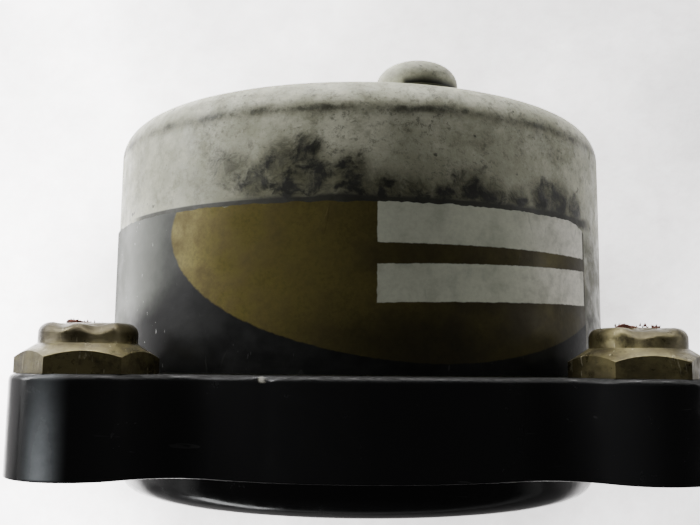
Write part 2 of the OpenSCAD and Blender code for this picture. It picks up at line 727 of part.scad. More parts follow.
module terminal_studs() color([0.78, 0.64, 0.35]) upright() on_terminals() {
    rod(terminal_head_r, terminal_head_front, terminal_head_front + terminal_head_h);
    rod(terminal_r, terminal_head_front + terminal_head_h / 2, washer_back - running);
    rod(terminal_root_r, cover_back, terminal_nut_back + 1);
    rod(terminal_r, terminal_nut_back + running, terminal_back - terminal_tip);
    translate([0, 0, terminal_back - terminal_tip])
        cylinder(r1 = terminal_r, r2 = terminal_r - terminal_tip, h = terminal_tip);
}

// Flanged bushes inside and outside the cover's wall
module terminal_insulators() color([0.25, 0.12, 0.06]) upright() on_terminals() difference() {
    union() {
        rod(insulator_r, terminal_head_front + terminal_head_h, cover_inside);
        rod(terminal_r + insulator_wall, cover_inside - 0.5, cover_back + 0.5);
        rod(insulator_r, cover_back, insulator_back);
    }
    rod(terminal_r + fit, terminal_head_front, insulator_back + 1);
}

module terminal_washers() color([0.7, 0.7, 0.68]) upright() on_terminals()
    tube(washer_r, terminal_r + hole_play, insulator_back, washer_back);

module terminal_nuts() color([0.78, 0.64, 0.35]) upright() on_terminals() difference() {
    hexagon(terminal_nut_flats, washer_back, terminal_nut_back);
    rod(terminal_root_r + fit, washer_back - 1, terminal_nut_back + 1);
}

// Each wire leaves its terminal's head, dips, and meets the rim of its spool from the side
module lead_wires() color([0.6, 0.1, 0.08]) upright() {
    low = terminal_head_front - wire_drop;
    rim = spool_back - spool_flange_t / 2;
    for (i = [0:2]) {
        middle = i == 2;
        away = middle ? -1 : 1;
        start = [(middle ? 0 : 2 * i - 1) * terminal_pitch, terminal_drop];
        goal = SPOOLS[i] + [0, away * (spool_r + fit)];
        step = (goal - start) / 4;
        wire([
            concat(start, terminal_head_front - fit),
            concat(start, low + 1),
            concat(start + 0.3 * step, low),
            concat(start + 2 * step, (low + rim) / 2),
            concat(goal + [0, away * wire_lead], rim),
            concat(goal, rim)
        ], wire_r);
    }
}

// Self-locking mounting nuts: a chamfered hexagon, a collar closed over a fibre ring, and the ring itself
module mounting_nuts() color([0.72, 0.55, 0.25]) upright() on_nuts() difference() {
    union() {
        intersection() {
            hexagon(nut_flats, 0, nut_hex_h);
            cylinder(
                r1 = nut_flats / 2 + nut_hex_h * nut_chamfer_run + nut_chamfer_land,
                r2 = nut_flats / 2 + nut_chamfer_land,
                h = nut_hex_h
            );
        }
        rotate_extrude() polygon(concat(
            [[0, nut_hex_h - 0.5], [nut_collar_r, nut_hex_h - 0.5]],
            arc([nut_collar_r - nut_collar_round, nut_h - nut_collar_round], nut_collar_round, 0, 90, 6),
            [[0, nut_h]]
        ));
    }
    rod(nut_bore_r, -1, nut_h + 1);
    rod(fibre_r + fit, fibre_front - fit, fibre_back + fit);
    rod(fibre_neck_r + fit, nut_hex_h, nut_h + 1);
}

module nut_lock_rings() color([0.45, 0.16, 0.1]) upright() on_nuts() difference() {
    union() {
        rod(fibre_r, fibre_front, fibre_back);
        rod(fibre_neck_r, nut_hex_h, nut_h + fibre_proud);
    }
    rod(nut_bore_r, fibre_front - 1, nut_h + fibre_proud + 1);
}

module data_label() color([0.16, 0.17, 0.19]) upright()
    rotate([0, 0, label_left - 90]) rotate_extrude(angle = label_right - label_left)
        translate([can_r + label_seat, flange_t + label_lift]) square([label_t, label_h - label_lift]);

front_case();
glass();
glass_gasket();
snap_ring();
zero_bush();
zero_screw();
zero_clip();
zero_eccentric();
zero_arm();
dial();
dial_screws();
dial_posts();
pointer();
balance_cross();
balance_weights();
front_bridge();
front_bridge_posts();
front_bridge_screws();
front_bush();
front_hairspring();
half_staffs();
coil_former();
coil_winding();
iron_core();
core_supports();
pole_pieces();
magnet_ring();
movement_plate();
magnet_screws();
plate_screws();
rear_bridge();
rear_bridge_posts();
rear_bridge_screws();
rear_jewel_screw();
rear_lock_nut();
rear_hairspring();
rear_spring_stud();
resistor_spools();
resistor_windings();
spool_screws();
cover_posts();
rear_cover();
cover_screws();
terminal_studs();
terminal_insulators();
terminal_washers();
terminal_nuts();
lead_wires();
mounting_nuts();
nut_lock_rings();
data_label();
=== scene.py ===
"""Carburetor air temperature gauge: its finished pieces and finishes, with light, floor and camera."""

import json
import logging
import math
import random
from dataclasses import dataclass, field
from enum import Enum
from functools import reduce
from typing import Iterable, Optional, Sequence

import bmesh
import bpy
from mathutils import Matrix, Vector, noise


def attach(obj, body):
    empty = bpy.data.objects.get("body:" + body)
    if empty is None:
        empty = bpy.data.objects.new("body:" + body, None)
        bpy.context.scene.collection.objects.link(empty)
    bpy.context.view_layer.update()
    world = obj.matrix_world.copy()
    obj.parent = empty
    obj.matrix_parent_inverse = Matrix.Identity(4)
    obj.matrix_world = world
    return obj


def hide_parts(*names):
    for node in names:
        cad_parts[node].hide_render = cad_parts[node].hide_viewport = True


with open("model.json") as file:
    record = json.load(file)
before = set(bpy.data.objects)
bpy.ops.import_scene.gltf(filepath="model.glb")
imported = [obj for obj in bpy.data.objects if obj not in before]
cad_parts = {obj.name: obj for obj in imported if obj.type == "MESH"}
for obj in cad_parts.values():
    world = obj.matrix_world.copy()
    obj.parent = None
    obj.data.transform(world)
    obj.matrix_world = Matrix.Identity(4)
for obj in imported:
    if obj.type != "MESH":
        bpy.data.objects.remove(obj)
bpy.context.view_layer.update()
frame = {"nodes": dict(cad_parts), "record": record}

RGB = tuple[float, float, float]
Point = tuple[float, float, float]
Pair = tuple[float, float]
Socket = bpy.types.NodeSocket
MM = 0.001
Y_AXIS = Vector((0, 1, 0))
FLAT_ANGLE = math.radians(0.4)
FINISH_PREFIX = "finish_"
log = logging.getLogger("gauge")


class Body(Enum):
    """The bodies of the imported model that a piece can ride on."""

    CASE = "case"
    ZERO_CORRECTOR = "zero_corrector"
    MOVING_COIL = "moving_coil"


def mm(*lengths: float) -> tuple[float, ...]:
    """Returns lengths given in mm as metres."""
    return tuple(length * MM for length in lengths)


def polar(angle: float, radius: float) -> Vector:
    """Returns the point at an angle in radians and a radius in mm round the Y axis."""
    return Vector((math.cos(angle), 0, math.sin(angle))) * radius * MM


def link(name: str, data: bpy.types.ID) -> bpy.types.Object:
    """Puts an object with the given data into the scene.

    Args:
        name: Name of the object.
        data: Its mesh, camera or light.

    Returns:
        The object.
    """
    made = bpy.data.objects.new(name, data)
    bpy.context.collection.objects.link(made)
    return made


# Finishes


class Graph:
    """The node tree of a material or of the sky, with a short method for each kind of node in use."""

    def __init__(self, owner: bpy.types.ID, shader: str, place: str) -> None:
        """Starts from the shader that a new material or world has.

        Args:
            owner: The material or world.
            shader: Type of its shader node.
            place: Coordinates that the patterns read.
        """
        owner.use_nodes = True
        self.owner = owner
        self.tree = owner.node_tree
        self.shader = next(n for n in self.tree.nodes if n.type == shader)
        self.place = self.tree.nodes.new("ShaderNodeTexCoord").outputs[place]

    @classmethod
    def of_material(cls, name: str) -> "Graph":
        """Starts the graph of a new material, which reads Object coordinates."""
        return cls(bpy.data.materials.new(name), "BSDF_PRINCIPLED", "Object")

    def fill(self, socket: Socket, value: object) -> None:
        """Links a socket to another node's output, or sets it to a plain value.

        Args:
            socket: The input to fill.
            value: An output socket, a number, a colour or a vector.
        """
        if isinstance(value, Socket):
            self.tree.links.new(value, socket)
        elif isinstance(value, tuple) and len(value) == 3 and socket.type == "RGBA":
            socket.default_value = (*value, 1)
        else:
            socket.default_value = value

    def add(self, kind: str, output: object, inputs: dict, **settings: str) -> Socket:
        """Adds a node.

        Args:
            kind: Blender's name of the node.
            output: Number or name of the output that is wanted.
            inputs: What goes into the inputs, by number or name.
            settings: The node's own settings.

        Returns:
            The output.
        """
        node = self.tree.nodes.new(kind)
        for key, value in settings.items():
            setattr(node, key, value)
        for key, value in inputs.items():
            self.fill(node.inputs[key], value)
        return node.outputs[output]

    def math(self, operation: str, *values: object) -> Socket:
        """Returns the result of one of Blender's Math operations."""
        return self.add("ShaderNodeMath", 0, dict(enumerate(values)), operation=operation)

    def times(self, *values: object) -> Socket:
        """Returns the product of several values."""
        return reduce(lambda a, b: self.math("MULTIPLY", a, b), values)

    def most(self, *masks: object) -> Socket:
        """Returns the strongest of several masks."""
        return reduce(lambda a, b: self.math("MAXIMUM", a, b), masks)

    def gap(self, a: object, b: object) -> Socket:
        """Returns how far two values lie apart."""
        return self.math("ABSOLUTE", self.math("SUBTRACT", a, b))

    def ramp(self, value: object, start: float, stop: float, low: object = 0, high: object = 1) -> Socket:
        """Turns a value into a smooth step.

        Args:
            value: What is read.
            start: Value at which the step starts.
            stop: Value at which it ends.
            low: Result at the start.
            high: Result at the end.

        Returns:
            The step's output.
        """
        inputs = {"Value": value, "From Min": start, "From Max": stop, "To Min": low, "To Max": high}
        return self.add("ShaderNodeMapRange", "Result", inputs, interpolation_type="SMOOTHSTEP")

    def slope(self, value: object, start: float, stop: float, low: float = 0, high: float = 1) -> Socket:
        """Returns a smooth step whose start and stop are given in mm."""
        return self.ramp(value, start * MM, stop * MM, low, high)

    def mix(self, factor: object, a: object, b: object) -> Socket:
        """Returns a blend of two colours, where the factor is the share of the second."""
        return self.add("ShaderNodeMix", 2, {0: factor, 6: a, 7: b}, data_type="RGBA")

    def noise(self, scale: float, detail: float = 4, rough: float = 0.55, stretch: Point = (1, 1, 1),
              twist: float = 0) -> Socket:
        """Adds a noise pattern.

        Args:
            scale: Patches per metre.
            detail: Number of finer layers.
            rough: Strength of the finer layers.
            stretch: How many times denser the pattern is along each axis.
            twist: Distortion of the pattern.

        Returns:
            The pattern, from 0 to 1 with a mean of a half.
        """
        vector = self.place
        if stretch != (1, 1, 1):
            vector = self.add("ShaderNodeMapping", 0, {"Vector": vector, "Scale": stretch})
        inputs = {"Vector": vector, "Scale": scale, "Detail": detail, "Roughness": rough, "Distortion": twist}
        return self.add("ShaderNodeTexNoise", 0, inputs)

    def axes(self) -> tuple[Socket, ...]:
        """Returns the place's X, Y and Z."""
        first = self.add("ShaderNodeSeparateXYZ", 0, {0: self.place})
        return tuple(first.node.outputs)

    def distance(self, centre: Point) -> Socket:
        """Returns the distance from a point, in metres."""
        return self.add("ShaderNodeVectorMath", "Value", {0: self.place, 1: centre}, operation="DISTANCE")

    def spot(self, centre: Point, radius: float, fray: float, grain: float) -> Socket:
        """Marks a ragged round spot.

        Args:
            centre: Its middle, in metres.
            radius: Its radius, in metres.
            fray: How uneven its border is, as a share of the radius.
            grain: Patches per metre of the unevenness.

        Returns:
            1 inside the spot and 0 outside.
        """
        pattern = self.noise(grain, 5, 0.7)
        uneven = self.math("MULTIPLY_ADD", pattern, 4 * radius * fray, self.distance(centre))
        return self.ramp(uneven, radius * (1 + 2 * fray), radius * (0.5 + 2 * fray))

    def bump(self, height: object, depth: float, strength: float = 1) -> None:
        """Raises the surface by a pattern, over what was raised before.

        Args:
            height: Pattern from 0 to 1.
            depth: Height of the pattern, in mm.
            strength: Share of the effect.
        """
        inputs = {"Height": height, "Distance": depth * MM, "Strength": strength}
        before = self.shader.inputs["Normal"].links
        if before:
            inputs["Normal"] = before[0].from_socket
        self.fill(self.shader.inputs["Normal"], self.add("ShaderNodeBump", 0, inputs))

    def finish(self, colour: object, roughness: object, **even: float) -> bpy.types.Material:
        """Fills the shader and hands over the material.

        Args:
            colour: Base colour.
            roughness: Roughness.
            even: Values that are the same all over, by socket name with underscores for spaces.

        Returns:
            The finished material.
        """
        self.fill(self.shader.inputs["Base Color"], colour)
        self.fill(self.shader.inputs["Roughness"], roughness)
        for key, value in even.items():
            self.fill(self.shader.inputs[key.replace("_", " ")], value)
        return self.owner


@dataclass(frozen=True)
class Metal:
    """A bare or plated metal with clouds of tarnish and fine tool marks."""

    name: str
    colour: RGB
    tarnish: RGB
    roughness: float = 0.3
    clouds: float = 350
    cover: float = 0.7

    def material(self) -> bpy.types.Material:
        """Makes the finish.

        Returns:
            The material.
        """
        g = Graph.of_material(self.name)
        clouds = g.times(g.ramp(g.noise(self.clouds, 6, 0.6), 0.38, 0.68), self.cover)
        rough = g.ramp(g.noise(self.clouds * 3, 5), 0.3, 0.7, self.roughness * 0.7, self.roughness * 1.4)
        g.bump(g.noise(1800, 3, 0.6, (1, 8, 1)), 0.02, 0.35)
        return g.finish(g.mix(clouds, self.colour, self.tarnish), rough, Metallic=1.0)


@dataclass(frozen=True)
class Moulded:
    """A moulded, sleeved or painted surface with a fine grain and duller, dustier patches."""

    name: str
    colour: RGB
    dusty: RGB
    roughness: float = 0.4
    grain: float = 3000
    depth: float = 0.01

    def material(self) -> bpy.types.Material:
        """Makes the finish.

        Returns:
            The material.
        """
        g = Graph.of_material(self.name)
        dust = g.ramp(g.noise(450, 6, 0.65), 0.45, 0.8)
        rough = g.ramp(g.noise(900, 4), 0.3, 0.7, self.roughness * 0.8, min(1.0, self.roughness * 1.25))
        g.bump(g.noise(self.grain, 3), self.depth, 0.5)
        return g.finish(g.mix(dust, self.colour, self.dusty), rough)


@dataclass(frozen=True)
class Winding:
    """Turns of enamelled wire that lie side by side."""

    name: str
    colour: RGB
    gap: RGB
    pitch: float = 0.22

    def material(self) -> bpy.types.Material:
        """Makes the finish.

        Returns:
            The material.
        """
        g = Graph.of_material(self.name)
        turns = g.ramp(g.math("SINE", g.times(g.axes()[1], math.tau / (self.pitch * MM))), -0.9, 0.4)
        g.bump(turns, self.pitch / 2)
        uneven = g.ramp(g.noise(700, 4), 0.3, 0.7, 0.2, 0.4)
        return g.finish(g.mix(turns, self.gap, self.colour), uneven)


@dataclass(frozen=True)
class ClearGlass:
    """Polished window glass with a few fine smears."""

    name: str = "window_glass"
    tint: RGB = (0.97, 0.99, 0.98)
    refraction: float = 1.32

    def material(self) -> bpy.types.Material:
        """Makes the finish.

        Returns:
            The material.
        """
        g = Graph.of_material(self.name)
        smears = g.ramp(g.noise(120, 5, 0.6, (1, 1, 3)), 0.45, 0.8, 0.0, 0.035)
        return g.finish(self.tint, smears, Transmission_Weight=1.0, IOR=self.refraction)


@dataclass(frozen=True)
class BlackMoulding:
    """Glossy black case moulding with dust, fine scratches, one chip on its rear edge and a painted highlight
    on one lug.
    """

    name: str = "black_case"
    black: RGB = (0.0075, 0.0075, 0.0078)
    dusty: RGB = (0.16, 0.16, 0.155)
    edge: RGB = (0.012, 0.012, 0.010)
    # Bluish grey of the painted highlight on the upper left lug.
    rubbed: RGB = (0.275, 0.295, 0.310)
    bare: RGB = (0.26, 0.25, 0.21)
    chip: Point = mm(-8.3, 8.15, 28.6)
    chip_radius: float = 0.5 * MM
    rubbed_x: float = -25.0 * MM

    def material(self) -> bpy.types.Material:
        """Makes the finish.

        Returns:
            The material.
        """
        g = Graph.of_material(self.name)
        x, height, z = g.axes()
        # Painted highlight on the upper left lug, strongest towards the front face.
        lug = g.times(
            g.slope(g.gap(x, self.rubbed_x), 2.1, 0),
            g.slope(height, 9.5, 0, 0.2, 1.0),
            g.slope(z, 24, 27),
            g.slope(height, 0.02, 0.3),
            g.ramp(g.noise(700, 6, 0.7), 0.3, 0.7, 0.8, 1.0),
        )
        specks = g.ramp(g.noise(4200, 2, 0.5), 0.735, 0.78)
        patches = g.ramp(g.noise(260, 5, 0.6), 0.5, 0.75)
        hairs = g.ramp(g.noise(900, 3, 0.5, (0.12, 1.6, 0.5), 1.5), 0.70, 0.74)
        edge = g.times(g.slope(height, 7.7, 8.15), g.ramp(g.noise(500, 5, 0.7), 0.3, 0.65, 0.25, 0.8))
        broken = g.spot(self.chip, self.chip_radius, 0.35, 1600)
        colour = g.mix(g.most(g.times(specks, patches, 0.5), g.times(hairs, 0.10)), self.black, self.dusty)
        colour = g.mix(g.times(edge, 0.5), colour, self.edge)
        # Paints the highlight on the lug.
        colour = g.mix(lug, colour, self.rubbed)
        colour = g.mix(broken, colour, self.bare)
        rough = g.ramp(g.noise(380, 6, 0.65), 0.35, 0.75, 0.10, 0.30)
        rough = g.most(rough, edge, g.times(broken, 0.8), g.times(lug, 0.5))
        g.bump(g.noise(160, 4, 0.5), 0.12, 0.35)
        g.bump(g.noise(2600, 3), 0.006, 0.5)
        return g.finish(colour, rough, Specular_IOR_Level=0.25)


@dataclass(frozen=True)
class GreyPaint:
    """Warm light grey paint, dirty and rubbed, with dirt above the label and along the shoulder, and painted
    shade.
    """

    name: str = "grey_paint"
    clean: RGB = (0.41, 0.411, 0.298)
    faded: RGB = (0.655, 0.648, 0.505)
    # Olive of stains and dirt halos, also used for painted shade.
    olive: RGB = (0.10, 0.098, 0.055)
    # Near-black of the dirt, and of the painted shade at the screw's foot and near the flange.
    grime: RGB = (0.013, 0.013, 0.011)
    radius: float = 26.6
    shoulder_y: float = 31.1
    label_y: float = 22.95
    # Angle from the front of the picture in degrees, height and radius of each smudge in mm.
    smudges: Sequence[Point] = (
        (-26, 26.2, 2.3), (-21.5, 24.8, 2.2), (-16, 26.4, 2.4), (-14, 24.4, 2.8), (-10.5, 25.0, 3.0),
        (-11, 27.0, 1.9), (-3.4, 25.3, 2.2), (-1.6, 23.6, 2.2), (3, 23.4, 2.4), (9, 23.2, 2.2),
        (15, 23.2, 2.0), (20, 24.1, 2.4), (24.5, 23.7, 2.0), (31, 23.3, 1.9), (37.5, 24.2, 2.2),
        (43, 24.2, 2.6), (49, 24.0, 1.9),
    )

    def smudged(self, g: Graph) -> Socket:
        """Tells how thick the dirt lies above the label.

        Args:
            g: The material's graph.

        Returns:
            The dirt's thickness, from 0 to 1.
        """
        fields = []
        for angle, height, reach in self.smudges:
            turn = math.radians(angle)
            centre = mm(self.radius * math.sin(turn), height, self.radius * math.cos(turn))
            fields.append(g.slope(g.distance(centre), reach * 1.6, 0))
        return g.most(*fields)

    def lines(self, g: Graph, x: Socket, height: Socket, z: Socket) -> tuple[Socket, Socket]:
        """Marks the dark lines round the cover.

        Args:
            g: The material's graph.
            x: Place along X.
            height: Place along Y.
            z: Place along Z.

        Returns:
            The line along the shoulder, and the one that edges the label.
        """
        wavy = g.math("MULTIPLY_ADD", g.noise(330, 6, 0.7), 1.1 * MM, height)
        strong = g.ramp(g.noise(240, 7, 0.75), 0.34, 0.66, 0.45, 1.0)
        shoulder = g.times(g.slope(g.gap(wavy, (self.shoulder_y + 0.55) * MM), 1.0, 0), strong)
        above = g.gap(wavy, (self.label_y + 0.62) * MM)
        above = g.times(g.slope(above, 0.75, 0.2), g.slope(x, -15, -8))
        border = g.gap(height, (self.label_y + 0.12) * MM)
        border = g.times(g.slope(border, 0.32, 0.16), g.slope(x, -25.5, -20, 0.7, 1.0))
        return shoulder, g.times(g.most(above, border), g.slope(z, 13.5, 16))

    def material(self) -> bpy.types.Material:
        """Makes the finish.

        Returns:
            The material.
        """
        g = Graph.of_material(self.name)
        x, height, z = g.axes()
        fade = g.ramp(g.noise(160, 7, 0.72), 0.38, 0.66)
        stain = g.times(g.ramp(g.noise(380, 8, 0.78), 0.40, 0.78), 0.75)
        # Painted shade: darker towards the label and towards the middle of the front.
        middle_shade = g.times(g.slope(height, 30.5, 24), g.slope(g.math("ABSOLUTE", x), 24, 6), 0.5)
        dusting = g.times(
            g.ramp(g.noise(1900, 5, 0.75), 0.49, 0.66),
            g.ramp(g.noise(210, 4), 0.35, 0.65, 0.3, 0.9),
            g.slope(x, -20, -9, 0.2, 1.0),
        )
        pits = g.times(g.ramp(g.noise(900, 2, 0.5), 0.70, 0.76), 0.7)
        blot = g.noise(640, 7, 0.68, twist=0.35)
        curls = g.ramp(g.gap(g.noise(430, 3, 0.55, twist=1.0), 0.5), 0.06, 0.0)
        dirt = g.times(self.smudged(g), g.slope(x, -12, -7, 0.7, 1.0))
        thick = g.ramp(g.math("MULTIPLY_ADD", blot, 3.2, dirt), 1.96, 2.75)
        loops = g.times(curls, g.ramp(dirt, 0.2, 0.7, 0.0, 0.4))
        halo = g.times(g.ramp(g.math("MULTIPLY_ADD", blot, 0.9, dirt), 0.5, 1.3), 0.9)
        line, rim = self.lines(g, x, height, z)
        # Painted shade on the right side of the screw head that shows, mottled and darkest at its foot.
        screw_side_shade = g.times(g.slope(height, 34.1, 34.3), g.slope(x, 3.0, 3.6), g.slope(z, 20.5, 22))
        screw_foot_shade = g.times(screw_side_shade, g.slope(height, 35.1, 34.3))
        screw_shade_mottle = g.times(screw_side_shade, g.ramp(g.noise(1100, 5, 0.7), 0.3, 0.65, 0.0, 0.35))
        # Painted shade on the grey beside the label's right end, darkest towards the flange.
        label_end_shade = g.times(
            g.slope(x, 19.5, 22),
            g.slope(height, 24.5, 20),
            g.ramp(g.noise(300, 6, 0.7), 0.3, 0.6, 0.6, 1.0),
            g.slope(z, -2, 2),
        )
        flange_shade = g.times(label_end_shade, g.slope(height, 18, 13), 0.75)
        colour = g.mix(fade, self.clean, self.faded)
        # Olive stains, and painted shade over the lower middle of the front.
        colour = g.mix(g.most(stain, middle_shade), colour, self.olive)
        # Olive dirt halos and shoulder line, with painted shade beside the label's end and on the screw head.
        colour = g.mix(g.most(halo, label_end_shade, screw_shade_mottle, g.times(line, 0.85)), colour, self.olive)
        # Near-black dirt, pits and lines, with painted shade at the screw's foot and near the flange.
        dark = g.most(g.times(thick, 0.95), loops, g.times(dusting, 0.65), pits, flange_shade, g.times(rim, 0.9),
                      g.times(g.ramp(line, 0.45, 1.0), 0.7), screw_foot_shade)
        colour = g.mix(dark, colour, self.grime)
        g.bump(g.noise(90, 3), 0.25, 0.35)
        g.bump(g.noise(1500, 4), 0.04, 0.6)
        g.bump(dark, 0.03, 0.5)
        return g.finish(colour, g.ramp(g.noise(600, 5, 0.6), 0.3, 0.7, 0.36, 0.62), Specular_IOR_Level=0.3)


@dataclass(frozen=True)
class LabelFilm:
    """Dark printed film round the cover: a gold field and two blank light boxes, glossy and scuffed, with
    painted sheen, light and shade.
    """

    name: str = "label_film"
    radius: float = 26.73
    ink: RGB = (0.0072, 0.0074, 0.0072)
    scuffed: RGB = (0.030, 0.031, 0.028)
    # Grey of the painted sheen on the upper left.
    haze: RGB = (0.240, 0.248, 0.222)
    fleck: RGB = (0.62, 0.62, 0.60)
    gold: RGB = (0.150, 0.126, 0.036)
    # Brown of the painted shade over the gold towards the right.
    gold_dark: RGB = (0.048, 0.041, 0.020)
    gold_worn: RGB = (0.02, 0.018, 0.010)
    rust: RGB = (0.130, 0.078, 0.026)
    box: RGB = (0.55, 0.565, 0.45)
    # Lighter paper of the boxes' right ends, painted light.
    box_bright: RGB = (0.94, 0.91, 0.81)
    box_worn: RGB = (0.30, 0.31, 0.24)
    field_middle: Pair = (6.5, 20.8)
    field_half: Pair = (25.6, 11.45)
    field_power: float = 1.8
    # Middle and half size of each box in mm, and the rise over run of its long sides.
    boxes: Sequence[tuple[Pair, Pair, float]] = (
        ((12.55, 21.27), (11.65, 1.84), 0.004),
        ((12.6, 16.30), (11.7, 1.62), 0.029),
    )

    def rectangle(self, g: Graph, u: object, v: object, middle: Pair, half: Pair, tilt: float) -> Socket:
        """Marks one printed box.

        Args:
            g: The material's graph.
            u: Distance round the cover.
            v: Distance along the axis.
            middle: The box's middle, in mm.
            half: Half its width and height, in mm.
            tilt: Rise over run of its long sides.

        Returns:
            1 inside the box and 0 outside.
        """
        across = g.math("SUBTRACT", u, middle[0] * MM)
        along = g.math("SUBTRACT", g.math("SUBTRACT", v, middle[1] * MM), g.times(across, tilt))
        ways = zip((across, along), mm(*half))
        past = [g.math("SUBTRACT", g.math("ABSOLUTE", way), reach) for way, reach in ways]
        return g.slope(g.most(*past), 0.05, -0.05)

    def gilding(self, g: Graph, u: Socket, v: Socket, worn: Socket, grain: Socket) -> Socket:
        """Colours the gold field, yellow at the left, with painted shade that turns it brown towards the
        right and dark below.

        Args:
            g: The material's graph.
            u: Distance round the cover.
            v: Distance along the axis, made uneven.
            worn: Mask of the worn places.
            grain: Mask of the fine grain.

        Returns:
            The field's colour.
        """
        # Painted shade, stronger towards the right.
        right_shade = g.times(g.slope(u, -14, 10), g.ramp(g.noise(160, 4), 0.3, 0.6, 0.55, 1.0))
        mottle = g.times(g.ramp(g.noise(420, 8, 0.75), 0.38, 0.76), g.slope(u, 2, -14, 0.1, 0.5))
        # Painted shade near the flange, at the bottom of the field.
        low_shade = g.times(g.slope(v, 15, 11), g.slope(u, -14, 2), g.slope(u, 20, 8, 0.3, 1.0), 0.5)
        colour = g.mix(right_shade, self.gold, self.gold_dark)
        colour = g.mix(mottle, colour, self.rust)
        colour = g.mix(g.most(g.times(worn, 0.45), grain), colour, self.gold_worn)
        return g.mix(low_shade, colour, self.ink)

    def material(self) -> bpy.types.Material:
        """Makes the finish.

        Returns:
            The material.
        """
        g = Graph.of_material(self.name)
        x, height, z = g.axes()
        wobble = g.times(g.math("SUBTRACT", g.noise(1500, 4), 0.5), 0.22 * MM)
        u = g.math("ADD", g.times(g.math("ARCTAN2", x, z), self.radius * MM), wobble)
        v = g.math("ADD", height, wobble)
        ways = zip((u, v), self.field_middle, self.field_half)
        over = [g.math("POWER", g.math("DIVIDE", g.gap(way, middle * MM), half * MM), self.field_power)
                for way, middle, half in ways]
        field_mask = g.ramp(g.math("ADD", *over), 1.012, 0.988)
        boxes = g.most(*(self.rectangle(g, u, v, *box) for box in self.boxes))
        worn = g.ramp(g.noise(420, 8, 0.72), 0.36, 0.72)
        grain = g.ramp(g.noise(2600, 3, 0.6), 0.35, 0.7, 0.0, 0.3)
        scratches = g.ramp(g.noise(1100, 4, 0.6, (0.5, 0.16, 0.5), 1.2), 0.64, 0.70)
        flecks = g.ramp(g.noise(3000, 3, 0.5, (1, 0.35, 1)), 0.70, 0.74)
        uneven = g.math("MULTIPLY_ADD", g.noise(260, 5, 0.6), 5 * MM, -2.5 * MM)
        across = g.math("ADD", u, uneven)
        past_end = g.math("SUBTRACT", v, g.math("MULTIPLY_ADD", across, 0.30, 21.3 * MM))
        # Painted sheen on the left, whose lower edge rises to the right as a painted shadow of the flange and
        # nut.
        left_sheen = g.times(g.slope(across, -15, -27), g.slope(past_end, -1.5, 2), g.slope(u, -37, -26, 0.2, 1.0))
        gold = self.gilding(g, u, g.math("ADD", v, uneven), worn, grain)
        ink = g.mix(g.most(g.times(scratches, 0.5), g.times(worn, 0.22)), self.ink, self.scuffed)
        ink = g.mix(left_sheen, ink, self.haze)
        ink = g.mix(g.times(flecks, g.slope(u, -18, -23, 0.04, 0.9)), ink, self.fleck)
        stained = g.most(g.times(worn, 0.7), g.times(scratches, 0.5), grain)
        # Box paper, lighter towards the right ends as painted light.
        lit_box_paper = g.mix(g.slope(u, 12, 22), self.box, self.box_bright)
        colour = g.mix(boxes, g.mix(field_mask, ink, gold), g.mix(stained, lit_box_paper, self.box_worn))
        plain_gold = g.math("SUBTRACT", field_mask, g.times(field_mask, boxes))
        gloss = g.ramp(g.noise(420, 5, 0.65), 0.3, 0.72, 0.28, 0.50)
        rough = g.math("MULTIPLY_ADD", boxes, 0.12, g.math("ADD", gloss, g.slope(u, -24, -33, 0.0, 0.3)))
        g.fill(g.shader.inputs["Metallic"], g.times(plain_gold, 0.25))
        g.bump(g.noise(210, 4), 0.10, 0.5)
        g.bump(g.noise(1400, 4), 0.02, 0.5)
        g.bump(scratches, 0.01, 0.6)
        return g.finish(colour, rough, Specular_IOR_Level=0.12)


@dataclass(frozen=True)
class NutBrass:
    """Turned brass of the lock nuts: yellow where rubbed, else olive-brown, with nicks, dark collars and
    painted shade on the left nuts.
    """

    name: str = "nut_brass"
    bright: RGB = (0.165, 0.142, 0.064)
    olive: RGB = (0.082, 0.069, 0.034)
    # Dark brown of deep tarnish and dark collars, also used for painted shade on the left nuts.
    dark: RGB = (0.038, 0.030, 0.017)
    rubbed: RGB = (0.50, 0.45, 0.30)

    def material(self) -> bpy.types.Material:
        """Makes the finish.

        Returns:
            The material.
        """
        g = Graph.of_material(self.name)
        x, height, _ = g.axes()
        clouds = g.ramp(g.noise(300, 6, 0.65), 0.36, 0.62)
        deep = g.times(g.ramp(g.noise(720, 6, 0.7), 0.5, 0.68), 0.85)
        rubs = g.ramp(g.noise(1500, 4, 0.6, (1, 0.25, 1), 0.8), 0.62, 0.7)
        # Darker collars, with painted shade that grows towards the left nuts.
        collar_and_left_shade = g.times(g.slope(x, 12, -12, 0.15, 0.6), g.slope(height, 10.6, 11.2))
        colour = g.mix(clouds, self.bright, self.olive)
        colour = g.mix(deep, colour, self.dark)
        colour = g.mix(g.times(rubs, 0.6), colour, self.rubbed)
        colour = g.mix(collar_and_left_shade, colour, self.dark)
        g.bump(g.noise(1500, 3, 0.6, (1, 10, 1)), 0.03, 0.5)
        g.bump(g.noise(420, 5, 0.6), 0.06, 0.5)
        rough = g.ramp(g.noise(900, 5), 0.3, 0.7, 0.24, 0.52)
        return g.finish(colour, rough, Metallic=0.6, Specular_IOR_Level=0.3)


@dataclass(frozen=True)
class Fibre:
    """Red-brown vulcanised fibre with a stringy, frayed grain."""

    name: str = "fibre"
    dark: RGB = (0.040, 0.012, 0.009)
    light: RGB = (0.17, 0.058, 0.038)

    def material(self) -> bpy.types.Material:
        """Makes the finish.

        Returns:
            The material.
        """
        g = Graph.of_material(self.name)
        strings = g.noise(1600, 5, 0.7, (1, 0.3, 1))
        g.bump(strings, 0.12)
        colour = g.mix(g.ramp(strings, 0.3, 0.7), self.dark, self.light)
        return g.finish(colour, 0.85, Specular_IOR_Level=0.25)


